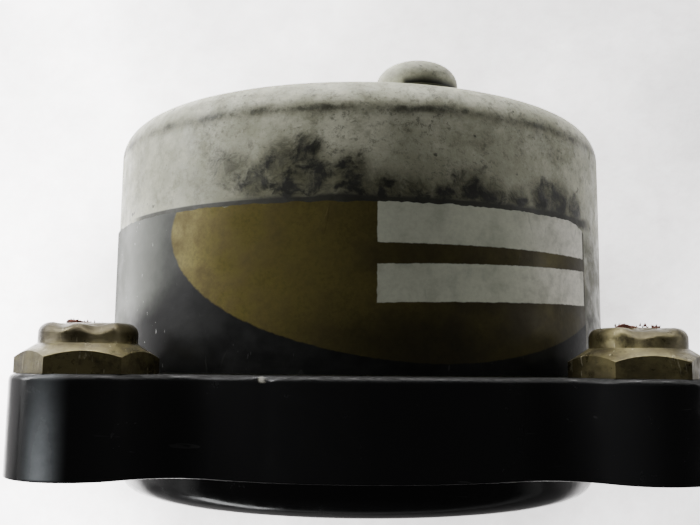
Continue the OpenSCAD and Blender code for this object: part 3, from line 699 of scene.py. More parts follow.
@dataclass(frozen=True)
class FloorSheet:
    """Pale, mottled sheet that the part lies on, lit through from the left and shaded under the part."""

    name: str = "floor_sheet"
    pale: RGB = (0.86, 0.845, 0.845)
    darker: RGB = (0.78, 0.755, 0.755)
    footprint: Pair = (0.024, 0.012)
    footprint_y: float = 0.010
    shaded: float = 0.35
    shade_reach: float = 0.030
    glow_ends: Pair = (-0.08, 0.06)
    glow: Pair = (8.5, 2.7)
    # Where each fall or rise of the glow starts and ends along an axis, and what is left at its end.
    side: Point = (0.058, 0.110, 0.08)
    front: Point = (-0.016, -0.042, 0.06)
    back: Point = (0.075, 0.150, 0.25)
    far: Point = (0.25, 0.90, 36.0)

    def material(self) -> bpy.types.Material:
        """Makes the finish.

        Returns:
            The material.
        """
        g = Graph.of_material(self.name)
        x, y, _ = g.axes()
        aside = g.math("ABSOLUTE", x)
        colour = g.mix(g.ramp(g.noise(420, 6, 0.7), 0.3, 0.7), self.pale, self.darker)
        off_x = g.math("SUBTRACT", aside, self.footprint[0])
        off_y = g.math("SUBTRACT", g.gap(y, self.footprint_y), self.footprint[1])
        away = g.math("ADD", g.math("MAXIMUM", off_x, 0.0), g.math("MAXIMUM", off_y, 0.0))
        ways = ((aside, self.side), (y, self.front), (y, self.back), (y, self.far))
        falls = [g.ramp(way, start, stop, 1.0, left) for way, (start, stop, left) in ways]
        mottle = g.ramp(g.noise(16, 5, 0.6), 0.3, 0.7, 0.72, 1.35)
        shade = g.ramp(away, 0.0, self.shade_reach, self.shaded, 1.0)
        g.bump(g.noise(300, 5, 0.65), 0.8, 0.35)
        g.fill(g.shader.inputs["Emission Color"], colour)
        glow = g.times(g.ramp(x, *self.glow_ends, *self.glow), *falls, mottle, shade)
        g.fill(g.shader.inputs["Emission Strength"], glow)
        return g.finish(colour, 0.9, Specular_IOR_Level=0.1)


FINISHES = (
    BlackMoulding(),
    ClearGlass(),
    GreyPaint(),
    LabelFilm(),
    NutBrass(),
    Fibre(),
    Moulded("gasket_rubber", (0.012, 0.011, 0.010), (0.05, 0.048, 0.045), 0.7),
    Moulded("dial_black", (0.006, 0.006, 0.0065), (0.014, 0.014, 0.014), 0.55, 5000, 0.006),
    Moulded("pointer_white", (0.74, 0.72, 0.60), (0.60, 0.57, 0.44), 0.55, 4000),
    Moulded("brown_phenolic", (0.060, 0.022, 0.010), (0.13, 0.065, 0.035), 0.32),
    Moulded("lead_insulation", (0.24, 0.022, 0.016), (0.30, 0.07, 0.05), 0.5, 2500, 0.03),
    Metal("brass", (0.70, 0.52, 0.24), (0.30, 0.20, 0.08)),
    Metal("plated_steel", (0.60, 0.60, 0.57), (0.30, 0.29, 0.26), 0.28),
    Metal("dark_steel", (0.055, 0.055, 0.055), (0.09, 0.075, 0.06), 0.38, cover=0.4),
    Metal("spring_bronze", (0.66, 0.40, 0.20), (0.36, 0.20, 0.10), 0.25, 800),
    Metal("aluminium", (0.78, 0.78, 0.80), (0.55, 0.55, 0.56), 0.35),
    Metal("soft_iron", (0.32, 0.32, 0.33), (0.18, 0.16, 0.15), 0.4),
    Metal("magnet_alloy", (0.22, 0.21, 0.21), (0.11, 0.10, 0.10), 0.5),
    Winding("enamelled_wire", (0.30, 0.085, 0.025), (0.03, 0.010, 0.005)),
)


# Shaping


class Pen:
    """Draws joined edges in a bmesh, straight or along arcs, before they are spun or filled."""

    def __init__(self, bm: bmesh.types.BMesh, start: Point) -> None:
        """Starts at a point.

        Args:
            bm: The bmesh that is drawn in.
            start: The first point, in metres.
        """
        self.bm = bm
        self.last = bm.verts.new(start)
        self.edges: list[bmesh.types.BMEdge] = []

    def to(self, *points: Point) -> "Pen":
        """Draws straight stretches.

        Args:
            points: Where each stretch ends.

        Returns:
            The pen itself.
        """
        for point in points:
            before, self.last = self.last, self.bm.verts.new(point)
            self.edges.append(self.bm.edges.new((before, self.last)))
        return self

    def arc(self, centre: Point, axis: Point, angle: float, steps: int) -> None:
        """Draws an arc from where the pen is.

        Args:
            centre: Centre of the arc.
            axis: Axis that the pen turns about.
            angle: How far it turns, in radians.
            steps: Number of edges.
        """
        known = set(self.bm.edges)
        made = bmesh.ops.spin(self.bm, geom=[self.last], cent=centre, axis=axis, angle=angle, steps=steps)
        self.edges += [e for e in self.bm.edges if e not in known]
        self.last = next(g for g in made["geom_last"] if isinstance(g, bmesh.types.BMVert))

    def parts(self) -> list:
        """Returns all points and edges that were drawn, each once."""
        return [*dict.fromkeys(v for e in self.edges for v in e.verts), *self.edges]


class Shape:
    """A piece under construction: a bmesh with the operations that several pieces share."""

    def __init__(self) -> None:
        """Starts with an empty bmesh."""
        self.bm = bmesh.new()

    @classmethod
    def copy_of(cls, node: str) -> "Shape":
        """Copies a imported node, with its loose triangles joined into flat faces.

        Args:
            node: Name of the node.

        Returns:
            The copy.
        """
        shape = cls()
        source = frame["nodes"][node]
        shape.bm.from_mesh(source.data)
        shape.bm.transform(source.matrix_world)
        shape.merge()
        bmesh.ops.dissolve_limit(
            shape.bm, angle_limit=FLAT_ANGLE, verts=shape.bm.verts[:], edges=shape.bm.edges[:],
        )
        return shape

    @classmethod
    def soften_node(cls, node: str, slot: str, width: float, segments: int = 2, body: Body = Body.CASE,
                    name: str = "") -> None:
        """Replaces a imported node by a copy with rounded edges.

        Args:
            node: Name of the node.
            slot: Its material slot.
            width: Width of the rounding, in mm.
            segments: Number of facets across it.
            body: What it rides on.
            name: Name of the piece, where it isn't made from the node's.
        """
        shape = cls.copy_of(node)
        shape.soften(width, segments, angle=40)
        shape.piece(name or f"{node}_softened", slot, body, (node,))

    def merge(self, distance: float = 1e-6) -> None:
        """Joins points that lie no farther apart than a distance in metres."""
        bmesh.ops.remove_doubles(self.bm, verts=self.bm.verts[:], dist=distance)

    def face_out(self) -> None:
        """Turns all faces of the closed parts outwards."""
        bmesh.ops.recalc_face_normals(self.bm, faces=self.bm.faces[:])

    def flip(self) -> None:
        """Turns all faces round."""
        bmesh.ops.reverse_faces(self.bm, faces=self.bm.faces[:])

    def thicken(self, thickness: float) -> None:
        """Gives an open shell a wall of the given thickness in mm."""
        bmesh.ops.solidify(self.bm, geom=self.bm.faces[:], thickness=thickness * MM)
        self.face_out()

    def spin(self, parts: Sequence[object], centre: Point = (0, 0, 0), angle: float = math.tau,
             steps: int = 192) -> None:
        """Spins vertices and edges about a line along Y.

        Args:
            parts: What is spun.
            centre: A point on the line.
            angle: How far, in radians.
            steps: Number of steps.
        """
        full = angle == math.tau
        bmesh.ops.spin(
            self.bm, geom=parts, cent=centre, axis=Y_AXIS, angle=angle, steps=steps, use_merge=full,
        )

    def turn(self, outline: Sequence[Pair], centre: Pair, steps: int = 40) -> None:
        """Turns a straight-sided outline into a round body about a line along Y.

        Args:
            outline: Radius and height of each corner, in mm.
            centre: The line's X and Z, in mm.
            steps: Number of steps.
        """
        x, z = mm(*centre)
        points = [(x + r * MM, y * MM, z) for r, y in outline]
        pen = Pen(self.bm, points[0]).to(*points[1:])
        self.spin(pen.parts(), (x, 0, z), steps=steps)

    def ring(self, radius: float, y: float, centre: Pair, steps: int = 32) -> list:
        """Adds a circle that lies square to the axis.

        Args:
            radius: Its radius, in mm.
            y: Its height, in mm.
            centre: Its X and Z, in mm.
            steps: Number of edges.

        Returns:
            Its edges.
        """
        place = Matrix.Translation(mm(centre[0], y, centre[1])) @ Matrix.Rotation(math.pi / 2, 4, "X")
        made = bmesh.ops.create_circle(self.bm, radius=radius * MM, segments=steps, matrix=place)
        return list(dict.fromkeys(e for v in made["verts"] for e in v.link_edges))

    def fill(self, edges: Sequence[object], normal: Point = (0, 1, 0)) -> None:
        """Fills a flat region that may have holes.

        Args:
            edges: Its outer and inner borders.
            normal: Which way it faces.
        """
        bmesh.ops.triangle_fill(self.bm, use_beauty=True, edges=edges, normal=normal)

    def raise_by(self, edges: Sequence[object], height: float) -> list:
        """Extrudes edges along Y into a wall.

        Args:
            edges: What is extruded.
            height: How far, in mm.

        Returns:
            The wall's far edges.
        """
        made = bmesh.ops.extrude_edge_only(self.bm, edges=edges)["geom"]
        verts = [g for g in made if isinstance(g, bmesh.types.BMVert)]
        bmesh.ops.translate(self.bm, vec=(0, height * MM, 0), verts=verts)
        return [g for g in made if isinstance(g, bmesh.types.BMEdge) and all(v in verts for v in g.verts)]

    def soften(self, width: float, segments: int, chosen: Optional[Iterable[object]] = None,
               angle: float = 50) -> None:
        """Rounds sharp edges.

        Args:
            width: Width of the rounding, in mm.
            segments: Number of facets across it.
            chosen: The edges that may be rounded, or all of them.
            angle: Least angle between the faces at an edge, in degrees.
        """
        pool = self.bm.edges if chosen is None else chosen
        least = math.radians(angle)
        edges = [e for e in pool if e.is_valid and len(e.link_faces) == 2 and e.calc_face_angle() > least]
        bmesh.ops.bevel(
            self.bm, geom=edges, offset=width * MM, offset_type="OFFSET", segments=segments, profile=0.5,
            affect="EDGES", clamp_overlap=True, material=-1, loop_slide=True,
        )

    def dent(self, centre: Point, radius: float, push: Point) -> None:
        """Pushes the surface near a point.

        Args:
            centre: The point, in mm.
            radius: How far the dent reaches, in mm.
            push: How far the middle moves, in mm.
        """
        middle = Vector(centre) * MM
        for vert in self.bm.verts:
            near = 1 - (vert.co - middle).length / (radius * MM)
            if near > 0:
                vert.co += Vector(push) * MM * near * near * (3 - 2 * near)

    def roughen(self, depth: float, scale: float, verts: Iterable[object]) -> None:
        """Moves points towards the axis by a smooth pattern, so that the piece never grows.

        Args:
            depth: Greatest movement, in mm.
            scale: Waves per metre.
            verts: Which points.
        """
        for vert in verts:
            inward = Vector((-vert.co.x, 0, -vert.co.z)).normalized()
            vert.co += inward * depth * MM * (0.5 + 0.5 * noise.noise(vert.co * scale))

    def absorb(self, mesh: bpy.types.Mesh) -> None:
        """Adds a mesh to the shape and removes it from the file."""
        self.bm.from_mesh(mesh)
        bpy.data.meshes.remove(mesh)

    def to_mesh(self, name: str) -> bpy.types.Mesh:
        """Ends the work on the bmesh.

        Args:
            name: Name of the mesh.

        Returns:
            The mesh.
        """
        mesh = bpy.data.meshes.new(name)
        self.bm.to_mesh(mesh)
        self.bm.free()
        return mesh

    def piece(self, name: str, slot: str, body: Body = Body.CASE, replaces: Sequence[str] = (),
              sharp: float = 32, weighted: bool = True) -> None:
        """Closes the work and places the piece on the frame.

        Args:
            name: Name of the piece.
            slot: Material slot of the record, which is also the finish's name.
            body: What it rides on.
            replaces: Nodes that it stands for.
            sharp: Angle above which an edge stays sharp, in degrees.
            weighted: Whether large faces keep their normals.
        """
        mesh = self.to_mesh(name)
        mesh.shade_smooth()
        mesh.set_sharp_from_angle(angle=math.radians(sharp))
        mesh.materials.append(bpy.data.materials[FINISH_PREFIX + slot])
        piece = link(name, mesh)
        if weighted:
            even = piece.modifiers.new("even_normals", "WEIGHTED_NORMAL")
            even.keep_sharp = True
        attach(piece, body.value)
        if replaces:
            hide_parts(*replaces)
        log.info("%s: %d faces on %s", name, len(mesh.polygons), body.value)


# Sub-assemblies


@dataclass
class FrontCase:
    """The black moulding: bezel ring, ledge for the glass, spigot, and the flange with its four lugs."""

    flange_radius: float = 29.745
    thickness: float = 8.3
    lug_radius: float = 6.2
    neck_radius: float = 6.0
    lug_offset: float = 23.544
    hole_radius: float = 1.9
    bezel_radius: float = 25.4
    bezel_height: float = 3.5
    bezel_round: float = 1.8
    spigot_radius: float = 25.45
    spigot_end: float = 17.0
    rear_round: float = 0.55
    front_round: float = 0.12
    small_round: float = 0.1
    arc_steps: tuple[int, int, int] = (24, 16, 40)
    # Radius and height along the inside: lip, snap ring groove, glass seat, dial ledge and spigot wall.
    inside: Sequence[Pair] = (
        (23.4, -3.5), (23.4, -3.2), (24.1, -3.2), (24.1, -2.4), (23.4, -2.4), (23.4, -0.5),
        (22.65, -0.5), (21.9, 0), (21.9, 3.9), (23.4, 3.9),
    )
    chips: Sequence[tuple[Point, float, Point]] = (
        ((-7.9, 8.3, 28.9), 0.9, (0, -0.22, -0.38)),
        ((-8.6, 8.0, 28.9), 0.6, (0, -0.1, -0.25)),
    )

    def outline(self, shape: Shape) -> None:
        """Draws the flange's outline at its front face: round middle, hollows and lugs.

        Args:
            shape: The shape that is drawn in.
        """
        lug_distance = self.lug_offset * math.sqrt(2)
        hollow = self.flange_radius + self.neck_radius
        reach = self.lug_radius + self.neck_radius
        spread = math.acos((lug_distance**2 + hollow**2 - reach**2) / (2 * lug_distance * hollow))
        low = Vector((math.cos(-spread), math.sin(-spread))) * hollow - Vector((lug_distance, 0))
        half = -math.atan2(low.y, low.x)
        round_steps, hollow_steps, lug_steps = self.arc_steps
        round_part = ((0, 0, 0), math.pi / 4 - spread, round_steps)
        pen = Pen(shape.bm, mm(self.flange_radius, 0, 0))
        for quarter in range(4):
            turn = math.radians(45 + 90 * quarter)
            before, after = (
                (polar(turn + way * spread, hollow), spread - half, hollow_steps) for way in (-1, 1)
            )
            lug = (polar(turn, lug_distance), 2 * half, lug_steps)
            for centre, angle, steps in (round_part, before, lug, after, round_part):
                pen.arc(centre, (0, -1, 0), angle, steps)

    def ring_body(self, shape: Shape) -> None:
        """Spins the bezel ring, the inside and the spigot, which meet the flange at open rims.

        Args:
            shape: The shape that is drawn in.
        """
        corner = self.bezel_round - self.bezel_height
        pen = Pen(shape.bm, mm(self.bezel_radius, 0, 0)).to(mm(self.bezel_radius, corner, 0))
        pen.arc(mm(self.bezel_radius - self.bezel_round, corner, 0), (0, 0, -1), math.pi / 2, 12)
        end = self.spigot_end
        spigot = ((self.inside[-1][0], end), (self.spigot_radius, end), (self.spigot_radius, self.thickness))
        pen.to(*(mm(r, y, 0) for r, y in (*self.inside, *spigot)))
        shape.spin(pen.parts())
        shape.merge()

    def build(self) -> None:
        """Builds and places the moulding."""
        shape = Shape()
        bm = shape.bm
        self.outline(shape)
        self.ring_body(shape)
        rims = [e for e in bm.edges if e.is_boundary]
        front_rim = [e for e in rims if abs(e.verts[0].co.y) < 1e-7]
        rear_rim = [e for e in rims if e not in front_rim]
        places = [(x * self.lug_offset, z * self.lug_offset) for x in (-1, 1) for z in (-1, 1)]
        holes = [e for place in places for e in shape.ring(self.hole_radius, 0, place)]
        border = [e for e in bm.edges if not e.link_faces and e not in holes]
        shape.fill(border + holes + front_rim, (0, -1, 0))
        tops = shape.raise_by(border + holes, self.thickness)
        shape.fill(tops + rear_rim)
        shape.merge()
        shape.face_out()
        half_way = self.thickness / 2 * MM
        outer = [e for e in bm.edges if not any(self.is_inner(v) for v in e.verts)]
        shape.soften(self.rear_round, 5, [e for e in outer if e.verts[0].co.y > half_way])
        shape.soften(self.front_round, 2, [e for e in outer if e.is_valid and e.verts[0].co.y < half_way])
        shape.soften(self.small_round, 2, [e for e in bm.edges if all(self.is_inner(v) for v in e.verts)])
        for chip in self.chips:
            shape.dent(*chip)
        shape.piece("front_case_moulding", "black_case", replaces=("front_case",))

    def is_inner(self, vert: bmesh.types.BMVert) -> bool:
        """Tells whether a point belongs to the ring body or to a lug's hole, and not to the flange's outline.

        Args:
            vert: The point.

        Returns:
            Whether it does.
        """
        from_axis = math.hypot(vert.co.x, vert.co.z)
        to_lug = math.hypot(abs(vert.co.x) - self.lug_offset * MM, abs(vert.co.z) - self.lug_offset * MM)
        return from_axis < (self.spigot_radius + 1) * MM or to_lug < (self.hole_radius + 0.3) * MM


@dataclass
class RearCover:
    """The drawn metal cover with its rounded shoulder and its screws."""

    radius: float = 26.6
    front: float = 8.3
    back: float = 34.2
    wall: float = 1.0
    shoulder: float = 3.2
    rows: int = 24
    dimples: float = 0.09
    dimple_scale: float = 90
    flat_margin: float = 0.05
    post_radius: float = 20.5
    post_angle: float = -76.4
    screw_hole: float = 1.2
    terminal_hole: float = 2.55
    terminal_pitch: float = 11.0
    terminal_drop: float = 5.0

    def holes(self, shape: Shape) -> list:
        """Draws the holes in the rear face for the screws and the terminals.

        Args:
            shape: The shape that is drawn in.

        Returns:
            Their edges.
        """
        edges = []
        for i in range(3):
            turn = math.radians(self.post_angle + 120 * i)
            place = (self.post_radius * math.cos(turn), -self.post_radius * math.sin(turn))
            edges += shape.ring(self.screw_hole, self.back, place)
        for i in (-1, 0, 1):
            edges += shape.ring(self.terminal_hole, self.back, (i * self.terminal_pitch, -self.terminal_drop))
        return edges

    def build(self) -> None:
        """Builds and places the cover and its screws."""
        shape = Shape()
        bm = shape.bm
        corner = self.back - self.shoulder
        pen = Pen(bm, mm(self.radius, self.front, 0))
        rise = (corner - self.front) / self.rows
        pen.to(*(mm(self.radius, self.front + rise * i, 0) for i in range(1, self.rows + 1)))
        pen.arc(mm(self.radius - self.shoulder, corner, 0), (0, 0, 1), math.pi / 2, 10)
        shape.spin(pen.parts())
        shape.merge()
        rim = [e for e in bm.edges if e.is_boundary and e.verts[0].co.y > corner * MM]
        shape.fill(rim + self.holes(shape))
        shape.merge()
        shape.face_out()
        if max(bm.faces, key=lambda f: f.calc_center_median().y).normal.y < 0:
            shape.flip()
        sides = [v for v in bm.verts if v.co.y < (self.back - self.flat_margin) * MM]
        shape.roughen(self.dimples, self.dimple_scale, sides)
        shape.thicken(self.wall)
        shape.piece("rear_cover_shell", "grey_paint", replaces=("rear_cover",), sharp=40)
        Shape.soften_node("cover_screws", "grey_paint", 0.14, name="cover_screw_heads")


@dataclass
class DataLabel:
    """The film wrapped round the cover, with frayed borders and one corner cut short."""

    radius: float = 26.61
    thickness: float = 0.12
    front: float = 8.4
    top: float = 22.94
    left: float = -118.0
    right: float = 53.0
    rows: int = 26
    steps: int = 300
    corner_width: float = 7.0
    corner_cut: float = 0.9
    end_fray: float = 0.3
    border_loss: float = 0.10
    # Depth in mm, waves per degree and place in the noise of each layer of fraying.
    fraying: Sequence[Point] = ((0.16, 0.35, 3.1), (0.08, 1.7, 9.4))

    def build(self) -> None:
        """Builds and places the label."""
        shape = Shape()
        start = math.radians(self.left)
        x, z = math.sin(start) * self.radius, math.cos(start) * self.radius
        rise = (self.top - self.front) / self.rows
        pen = Pen(shape.bm, mm(x, self.front, z))
        pen.to(*(mm(x, self.front + rise * i, z) for i in range(1, self.rows + 1)))
        shape.spin(pen.parts(), angle=math.radians(self.right - self.left), steps=self.steps)
        for vert in shape.bm.verts:
            self.wear(vert)
        shape.face_out()
        if min(shape.bm.faces, key=lambda f: abs(f.calc_center_median().x)).normal.z > 0:
            shape.flip()
        shape.thicken(self.thickness)
        shape.piece("data_label_film", "label_film", replaces=("data_label",), sharp=50, weighted=False)

    def wear(self, vert: bmesh.types.BMVert) -> None:
        """Frays the label's borders and cuts its upper right corner short.

        Args:
            vert: One of its points, which is moved.
        """
        angle = math.degrees(math.atan2(vert.co.x, vert.co.z))
        share = (vert.co.y / MM - self.front) / (self.top - self.front)
        frayed = sum(depth * noise.noise(Vector((angle * waves, at, 0))) for depth, waves, at in self.fraying)
        lost = max(0, self.border_loss + frayed)
        lost += self.corner_cut * max(0, (angle - self.right + self.corner_width) / self.corner_width) ** 1.5
        vert.co.y -= lost * MM * share**6
        if angle > self.right - self.end_fray:
            back = math.radians(0.25 * (1 + noise.noise(Vector((vert.co.y * 900, 1.7, 0)))))
            vert.co = Matrix.Rotation(-back, 3, "Y") @ vert.co


@dataclass
class LockNuts:
    """The four self-locking nuts on the lugs, each with a frayed fibre ring."""

    offset: float = 23.544
    inner: float = 1.4
    outer: float = 1.9
    low: float = 10.8
    top: float = 12.9
    chamfer: Pair = (0.1, 0.15)
    settled: float = 0.1
    wear: Sequence[float] = (0.2, 0.5, 0.2, 0.2)
    tufts: int = 26
    tuft_radii: Pair = (0.10, 0.015)
    tuft_lengths: Pair = (0.12, 0.34)
    tuft_inset: float = 0.08
    tuft_lean: float = 0.5
    # Height in mm and waves per metre of each layer of the rings' unevenness.
    unevenness: Sequence[Pair] = ((0.14, 2600), (0.25, 700))
    dents: Sequence[tuple[Point, float, Point]] = (
        ((-21.9, 12.5, 27.2), 2.0, (0, -0.45, -0.45)),
        ((-24.8, 12.5, 26.9), 1.7, (0, -0.25, -0.3)),
        ((22.6, 12.5, 27.2), 1.9, (0, -0.45, -0.45)),
        ((24.6, 12.5, 26.9), 1.6, (0, -0.22, -0.3)),
    )

    def build(self) -> None:
        """Builds and places the nuts and their rings."""
        nuts = Shape.copy_of("mounting_nuts")
        nuts.soften(0.13, 2, angle=28)
        for dent in self.dents:
            nuts.dent(*dent)
        nuts.piece("mounting_nut_bodies", "nut_brass", replaces=("mounting_nuts",))
        rings = Shape()
        rng = random.Random(5)
        places = ((x * self.offset, z * self.offset) for x in (-1, 1) for z in (-1, 1))
        for place, wear in zip(places, self.wear):
            self.ring(rings, place, wear)
            for _ in range(self.tufts):
                self.tuft(rings, rng, place, wear)
        rings.piece("fibre_lock_rings", "fibre", replaces=("nut_lock_rings",), sharp=60)

    def ring(self, shape: Shape, centre: Pair, wear: float) -> None:
        """Adds one fibre ring, worn down on its right side.

        Args:
            shape: The shape that holds all rings.
            centre: The ring's X and Z, in mm.
            wear: How much lower its right side is, in mm.
        """
        known = set(shape.bm.verts)
        side, drop = self.chamfer
        shoulder = self.top - drop
        shape.turn((
            (self.inner, self.low), (self.outer, self.low), (self.outer, shoulder),
            (self.outer - side, self.top), (self.inner + side, self.top), (self.inner, shoulder),
            (self.inner, self.low),
        ), centre)
        shape.merge(1e-7)
        half_way = (self.low + self.top) / 2 * MM
        for vert in (v for v in shape.bm.verts if v not in known and v.co.y > half_way):
            uneven = sum(height * noise.noise(vert.co * waves) for height, waves in self.unevenness)
            worn = wear * (0.5 + (vert.co.x / MM - centre[0]) / (2 * self.outer))
            vert.co.y += (uneven - self.settled - worn) * MM
        shape.face_out()

    def tuft(self, shape: Shape, rng: random.Random, centre: Pair, wear: float) -> None:
        """Adds one loose strand to a ring.

        Args:
            shape: The shape that holds all rings.
            rng: Source of the strand's place, length and lean.
            centre: The ring's X and Z, in mm.
            wear: How much lower the ring's right side is, in mm.
        """
        turn = rng.uniform(0, math.tau)
        radius = rng.uniform(self.inner + self.tuft_inset, self.outer - self.tuft_inset)
        length = rng.uniform(*self.tuft_lengths)
        most = self.tuft_lean
        lean_x, lean_z = (Matrix.Rotation(rng.uniform(-most, most), 4, way) for way in "XZ")
        x, z = radius * math.cos(turn), radius * math.sin(turn)
        sunk = self.settled + wear * (0.5 + x / (2 * self.outer))
        root = Vector((centre[0] + x, self.top - sunk, centre[1] + z))
        stand = Matrix.Rotation(-math.pi / 2, 4, "X") @ Matrix.Translation((0, 0, length / 2 * MM))
        thick, thin = mm(*self.tuft_radii)
        bmesh.ops.create_cone(
            shape.bm, cap_ends=True, cap_tris=True, segments=5, radius1=thick, radius2=thin,
            depth=length * MM, matrix=Matrix.Translation(root * MM) @ lean_x @ lean_z @ stand,
        )


@dataclass
class Terminals:
    """The three stud terminals with threads, nuts, washers and insulators."""

    pitch: float = 11.0
    drop: float = 5.0
    radius: float = 1.75
    root: float = 1.45
    thread_pitch: float = 0.7
    thread_steps: int = 28
    crest: Pair = (0.42, 0.58)
    front: float = 35.8
    back: float = 43.0
    tip: float = 0.5
    tip_taper: float = 0.9
    head: float = 30.0
    shank: float = 31.5
    head_radius: float = 3.0

    def build(self) -> None:
        """Builds and places the terminals."""
        studs = Shape()
        for i in (-1, 0, 1):
            centre = (i * self.pitch, -self.drop)
            studs.absorb(self.thread(*mm(*centre)))
            studs.turn((
                (0, self.head), (self.head_radius, self.head), (self.head_radius, self.shank),
                (self.radius, self.shank), (self.radius, self.front), (0, self.front),
            ), centre)
            studs.merge(1e-7)
        studs.face_out()
        studs.piece("terminal_stud_threads", "brass", replaces=("terminal_studs",), sharp=50, weighted=False)
        Shape.soften_node("terminal_nuts", "brass", 0.22, 3)
        Shape.soften_node("terminal_washers", "plated_steel", 0.1, 3)
        Shape.soften_node("terminal_insulators", "brown_phenolic", 0.2, 3)

    def thread(self, x: float, z: float) -> bpy.types.Mesh:
        """Makes one helical thread with a coned tip.

        Args:
            x: Its axis's X, in metres.
            z: Its axis's Z, in metres.

        Returns:
            The thread.
        """
        shape = Shape()
        bm = shape.bm
        turns = math.ceil((self.back - self.front) / self.thread_pitch) + 2
        low = self.front - self.thread_pitch
        profile = ((self.root, 0), *((self.radius, share) for share in self.crest), (self.root, 1))
        points = [(x + r * MM, (low + share * self.thread_pitch) * MM, z) for r, share in profile]
        pen = Pen(bm, points[0]).to(*points[1:])
        bmesh.ops.spin(
            bm, geom=pen.parts(), cent=(x, 0, z), axis=Y_AXIS, angle=math.tau * turns,
            steps=self.thread_steps * turns, dvec=(0, self.thread_pitch * MM / self.thread_steps, 0),
        )
        shape.merge(2e-6)
        for y, way in ((self.front * MM, -1), (self.back * MM, 1)):
            parts = bm.verts[:] + bm.edges[:] + bm.faces[:]
            bmesh.ops.bisect_plane(bm, geom=parts, plane_co=(x, y, z), plane_no=(0, way, 0), clear_outer=True)
            rim = [e for e in bm.edges if e.is_boundary and all(abs(v.co.y - y) < 1e-6 for v in e.verts)]
            shape.fill(rim, (0, way, 0))
        for vert in bm.verts:
            past = vert.co.y / MM - (self.back - self.tip)
            out = Vector((vert.co.x - x, 0, vert.co.z - z))
            limit = (self.radius - past * self.tip_taper) * MM
            if past > 0 and out.length > limit:
                vert.co = Vector((x, vert.co.y, z)) + out.normalized() * limit
        return shape.to_mesh("thread")


@dataclass
class DialFace:
    """The glass and what shows through it: marks, pointer, balance, zero corrector, screws, snap ring."""

    pivot: float = -6.0
    front: float = 3.95
    print_thickness: float = 0.03
    tick_out: float = 21.2
    long_mark: Pair = (3.2, 0.55)
    short_mark: Pair = (1.9, 0.28)
    mark_step: int = 10
    numeral_step: int = 50
    numeral_radius: float = 15.7
    numeral_size: float = 2.9
    numeral_weight: float = 0.04
    mark_corner: float = 0.2
    sweep: float = 100.0
    low: int = -50
    high: int = 150
    softened: Sequence[tuple[str, str, float, Body]] = (
        ("pointer", "pointer_white", 0.08, Body.MOVING_COIL),
        ("balance_cross", "brass", 0.04, Body.MOVING_COIL),
        ("balance_weights", "brass", 0.06, Body.MOVING_COIL),
        ("zero_screw", "plated_steel", 0.12, Body.ZERO_CORRECTOR),
        ("zero_bush", "brass", 0.05, Body.CASE),
        ("snap_ring", "dark_steel", 0.15, Body.CASE),
        ("dial_screws", "dark_steel", 0.08, Body.CASE),
        ("glass", "window_glass", 0.12, Body.CASE),
    )

    def angle(self, value: float) -> float:
        """Returns a scale value's angle from the top of the dial, in radians."""
        share = (value - self.low) / (self.high - self.low)
        return math.radians((share - 0.5) * self.sweep)

    def mark(self, shape: Shape, angle: float, length: float, width: float) -> None:
        """Adds one scale line.

        Args:
            shape: The shape that holds the marks.
            angle: Its angle from the top, in radians.
            length: Its length, in mm.
            width: Its width, in mm.
        """
        place = Matrix.Translation(mm(0, self.front - self.print_thickness / 2, self.pivot))
        turn = Matrix.Rotation(angle, 4, "Y") @ Matrix.Translation(mm(0, 0, self.tick_out - length / 2))
        size = Matrix.Diagonal((*mm(width, self.print_thickness, length), 1))
        made = bmesh.ops.create_cube(shape.bm, size=1, matrix=place @ turn @ size)
        edges = dict.fromkeys(e for v in made["verts"] for e in v.link_edges)
        upright = [e for e in edges if abs((e.verts[0].co - e.verts[1].co).y) > 1e-6]
        bmesh.ops.bevel(
            shape.bm, geom=upright, offset=width * self.mark_corner * MM, offset_type="OFFSET", segments=2,
            profile=0.5, affect="EDGES", clamp_overlap=True, material=-1,
        )

    def numeral(self, shape: Shape, value: int) -> None:
        """Adds one numeral.

        Args:
            shape: The shape that holds the marks.
            value: The number.
        """
        curve = bpy.data.curves.new("numeral", "FONT")
        curve.body = str(value)
        curve.size = self.numeral_size * MM
        curve.align_x = "CENTER"
        curve.align_y = "CENTER"
        curve.extrude = self.print_thickness / 2 * MM
        curve.offset = self.numeral_weight * MM
        holder = bpy.data.objects.new("numeral", curve)
        mesh = bpy.data.meshes.new_from_object(holder)
        angle = self.angle(value)
        away = Vector((math.sin(angle), 0, math.cos(angle))) * self.numeral_radius
        place = Vector((0, self.front - self.print_thickness / 2, self.pivot)) + away
        mesh.transform(Matrix.Translation(place * MM) @ Matrix.Rotation(math.pi / 2, 4, "X"))
        shape.absorb(mesh)
        bpy.data.objects.remove(holder)
        bpy.data.curves.remove(curve)

    def build(self) -> None:
        """Builds and places the marks, and the moving and fixed pieces in front of the dial."""
        marks = Shape()
        for value in range(self.low, self.high + 1, self.mark_step):
            size = self.short_mark if value % self.numeral_step else self.long_mark
            self.mark(marks, self.angle(value), *size)
        for value in range(self.low, self.high + 1, self.numeral_step):
            self.numeral(marks, value)
        marks.merge(1e-7)
        marks.piece("dial_marks", "pointer_white", weighted=False)
        for node, slot, width, body in self.softened:
            Shape.soften_node(node, slot, width, body=body)


# Light, floor and camera


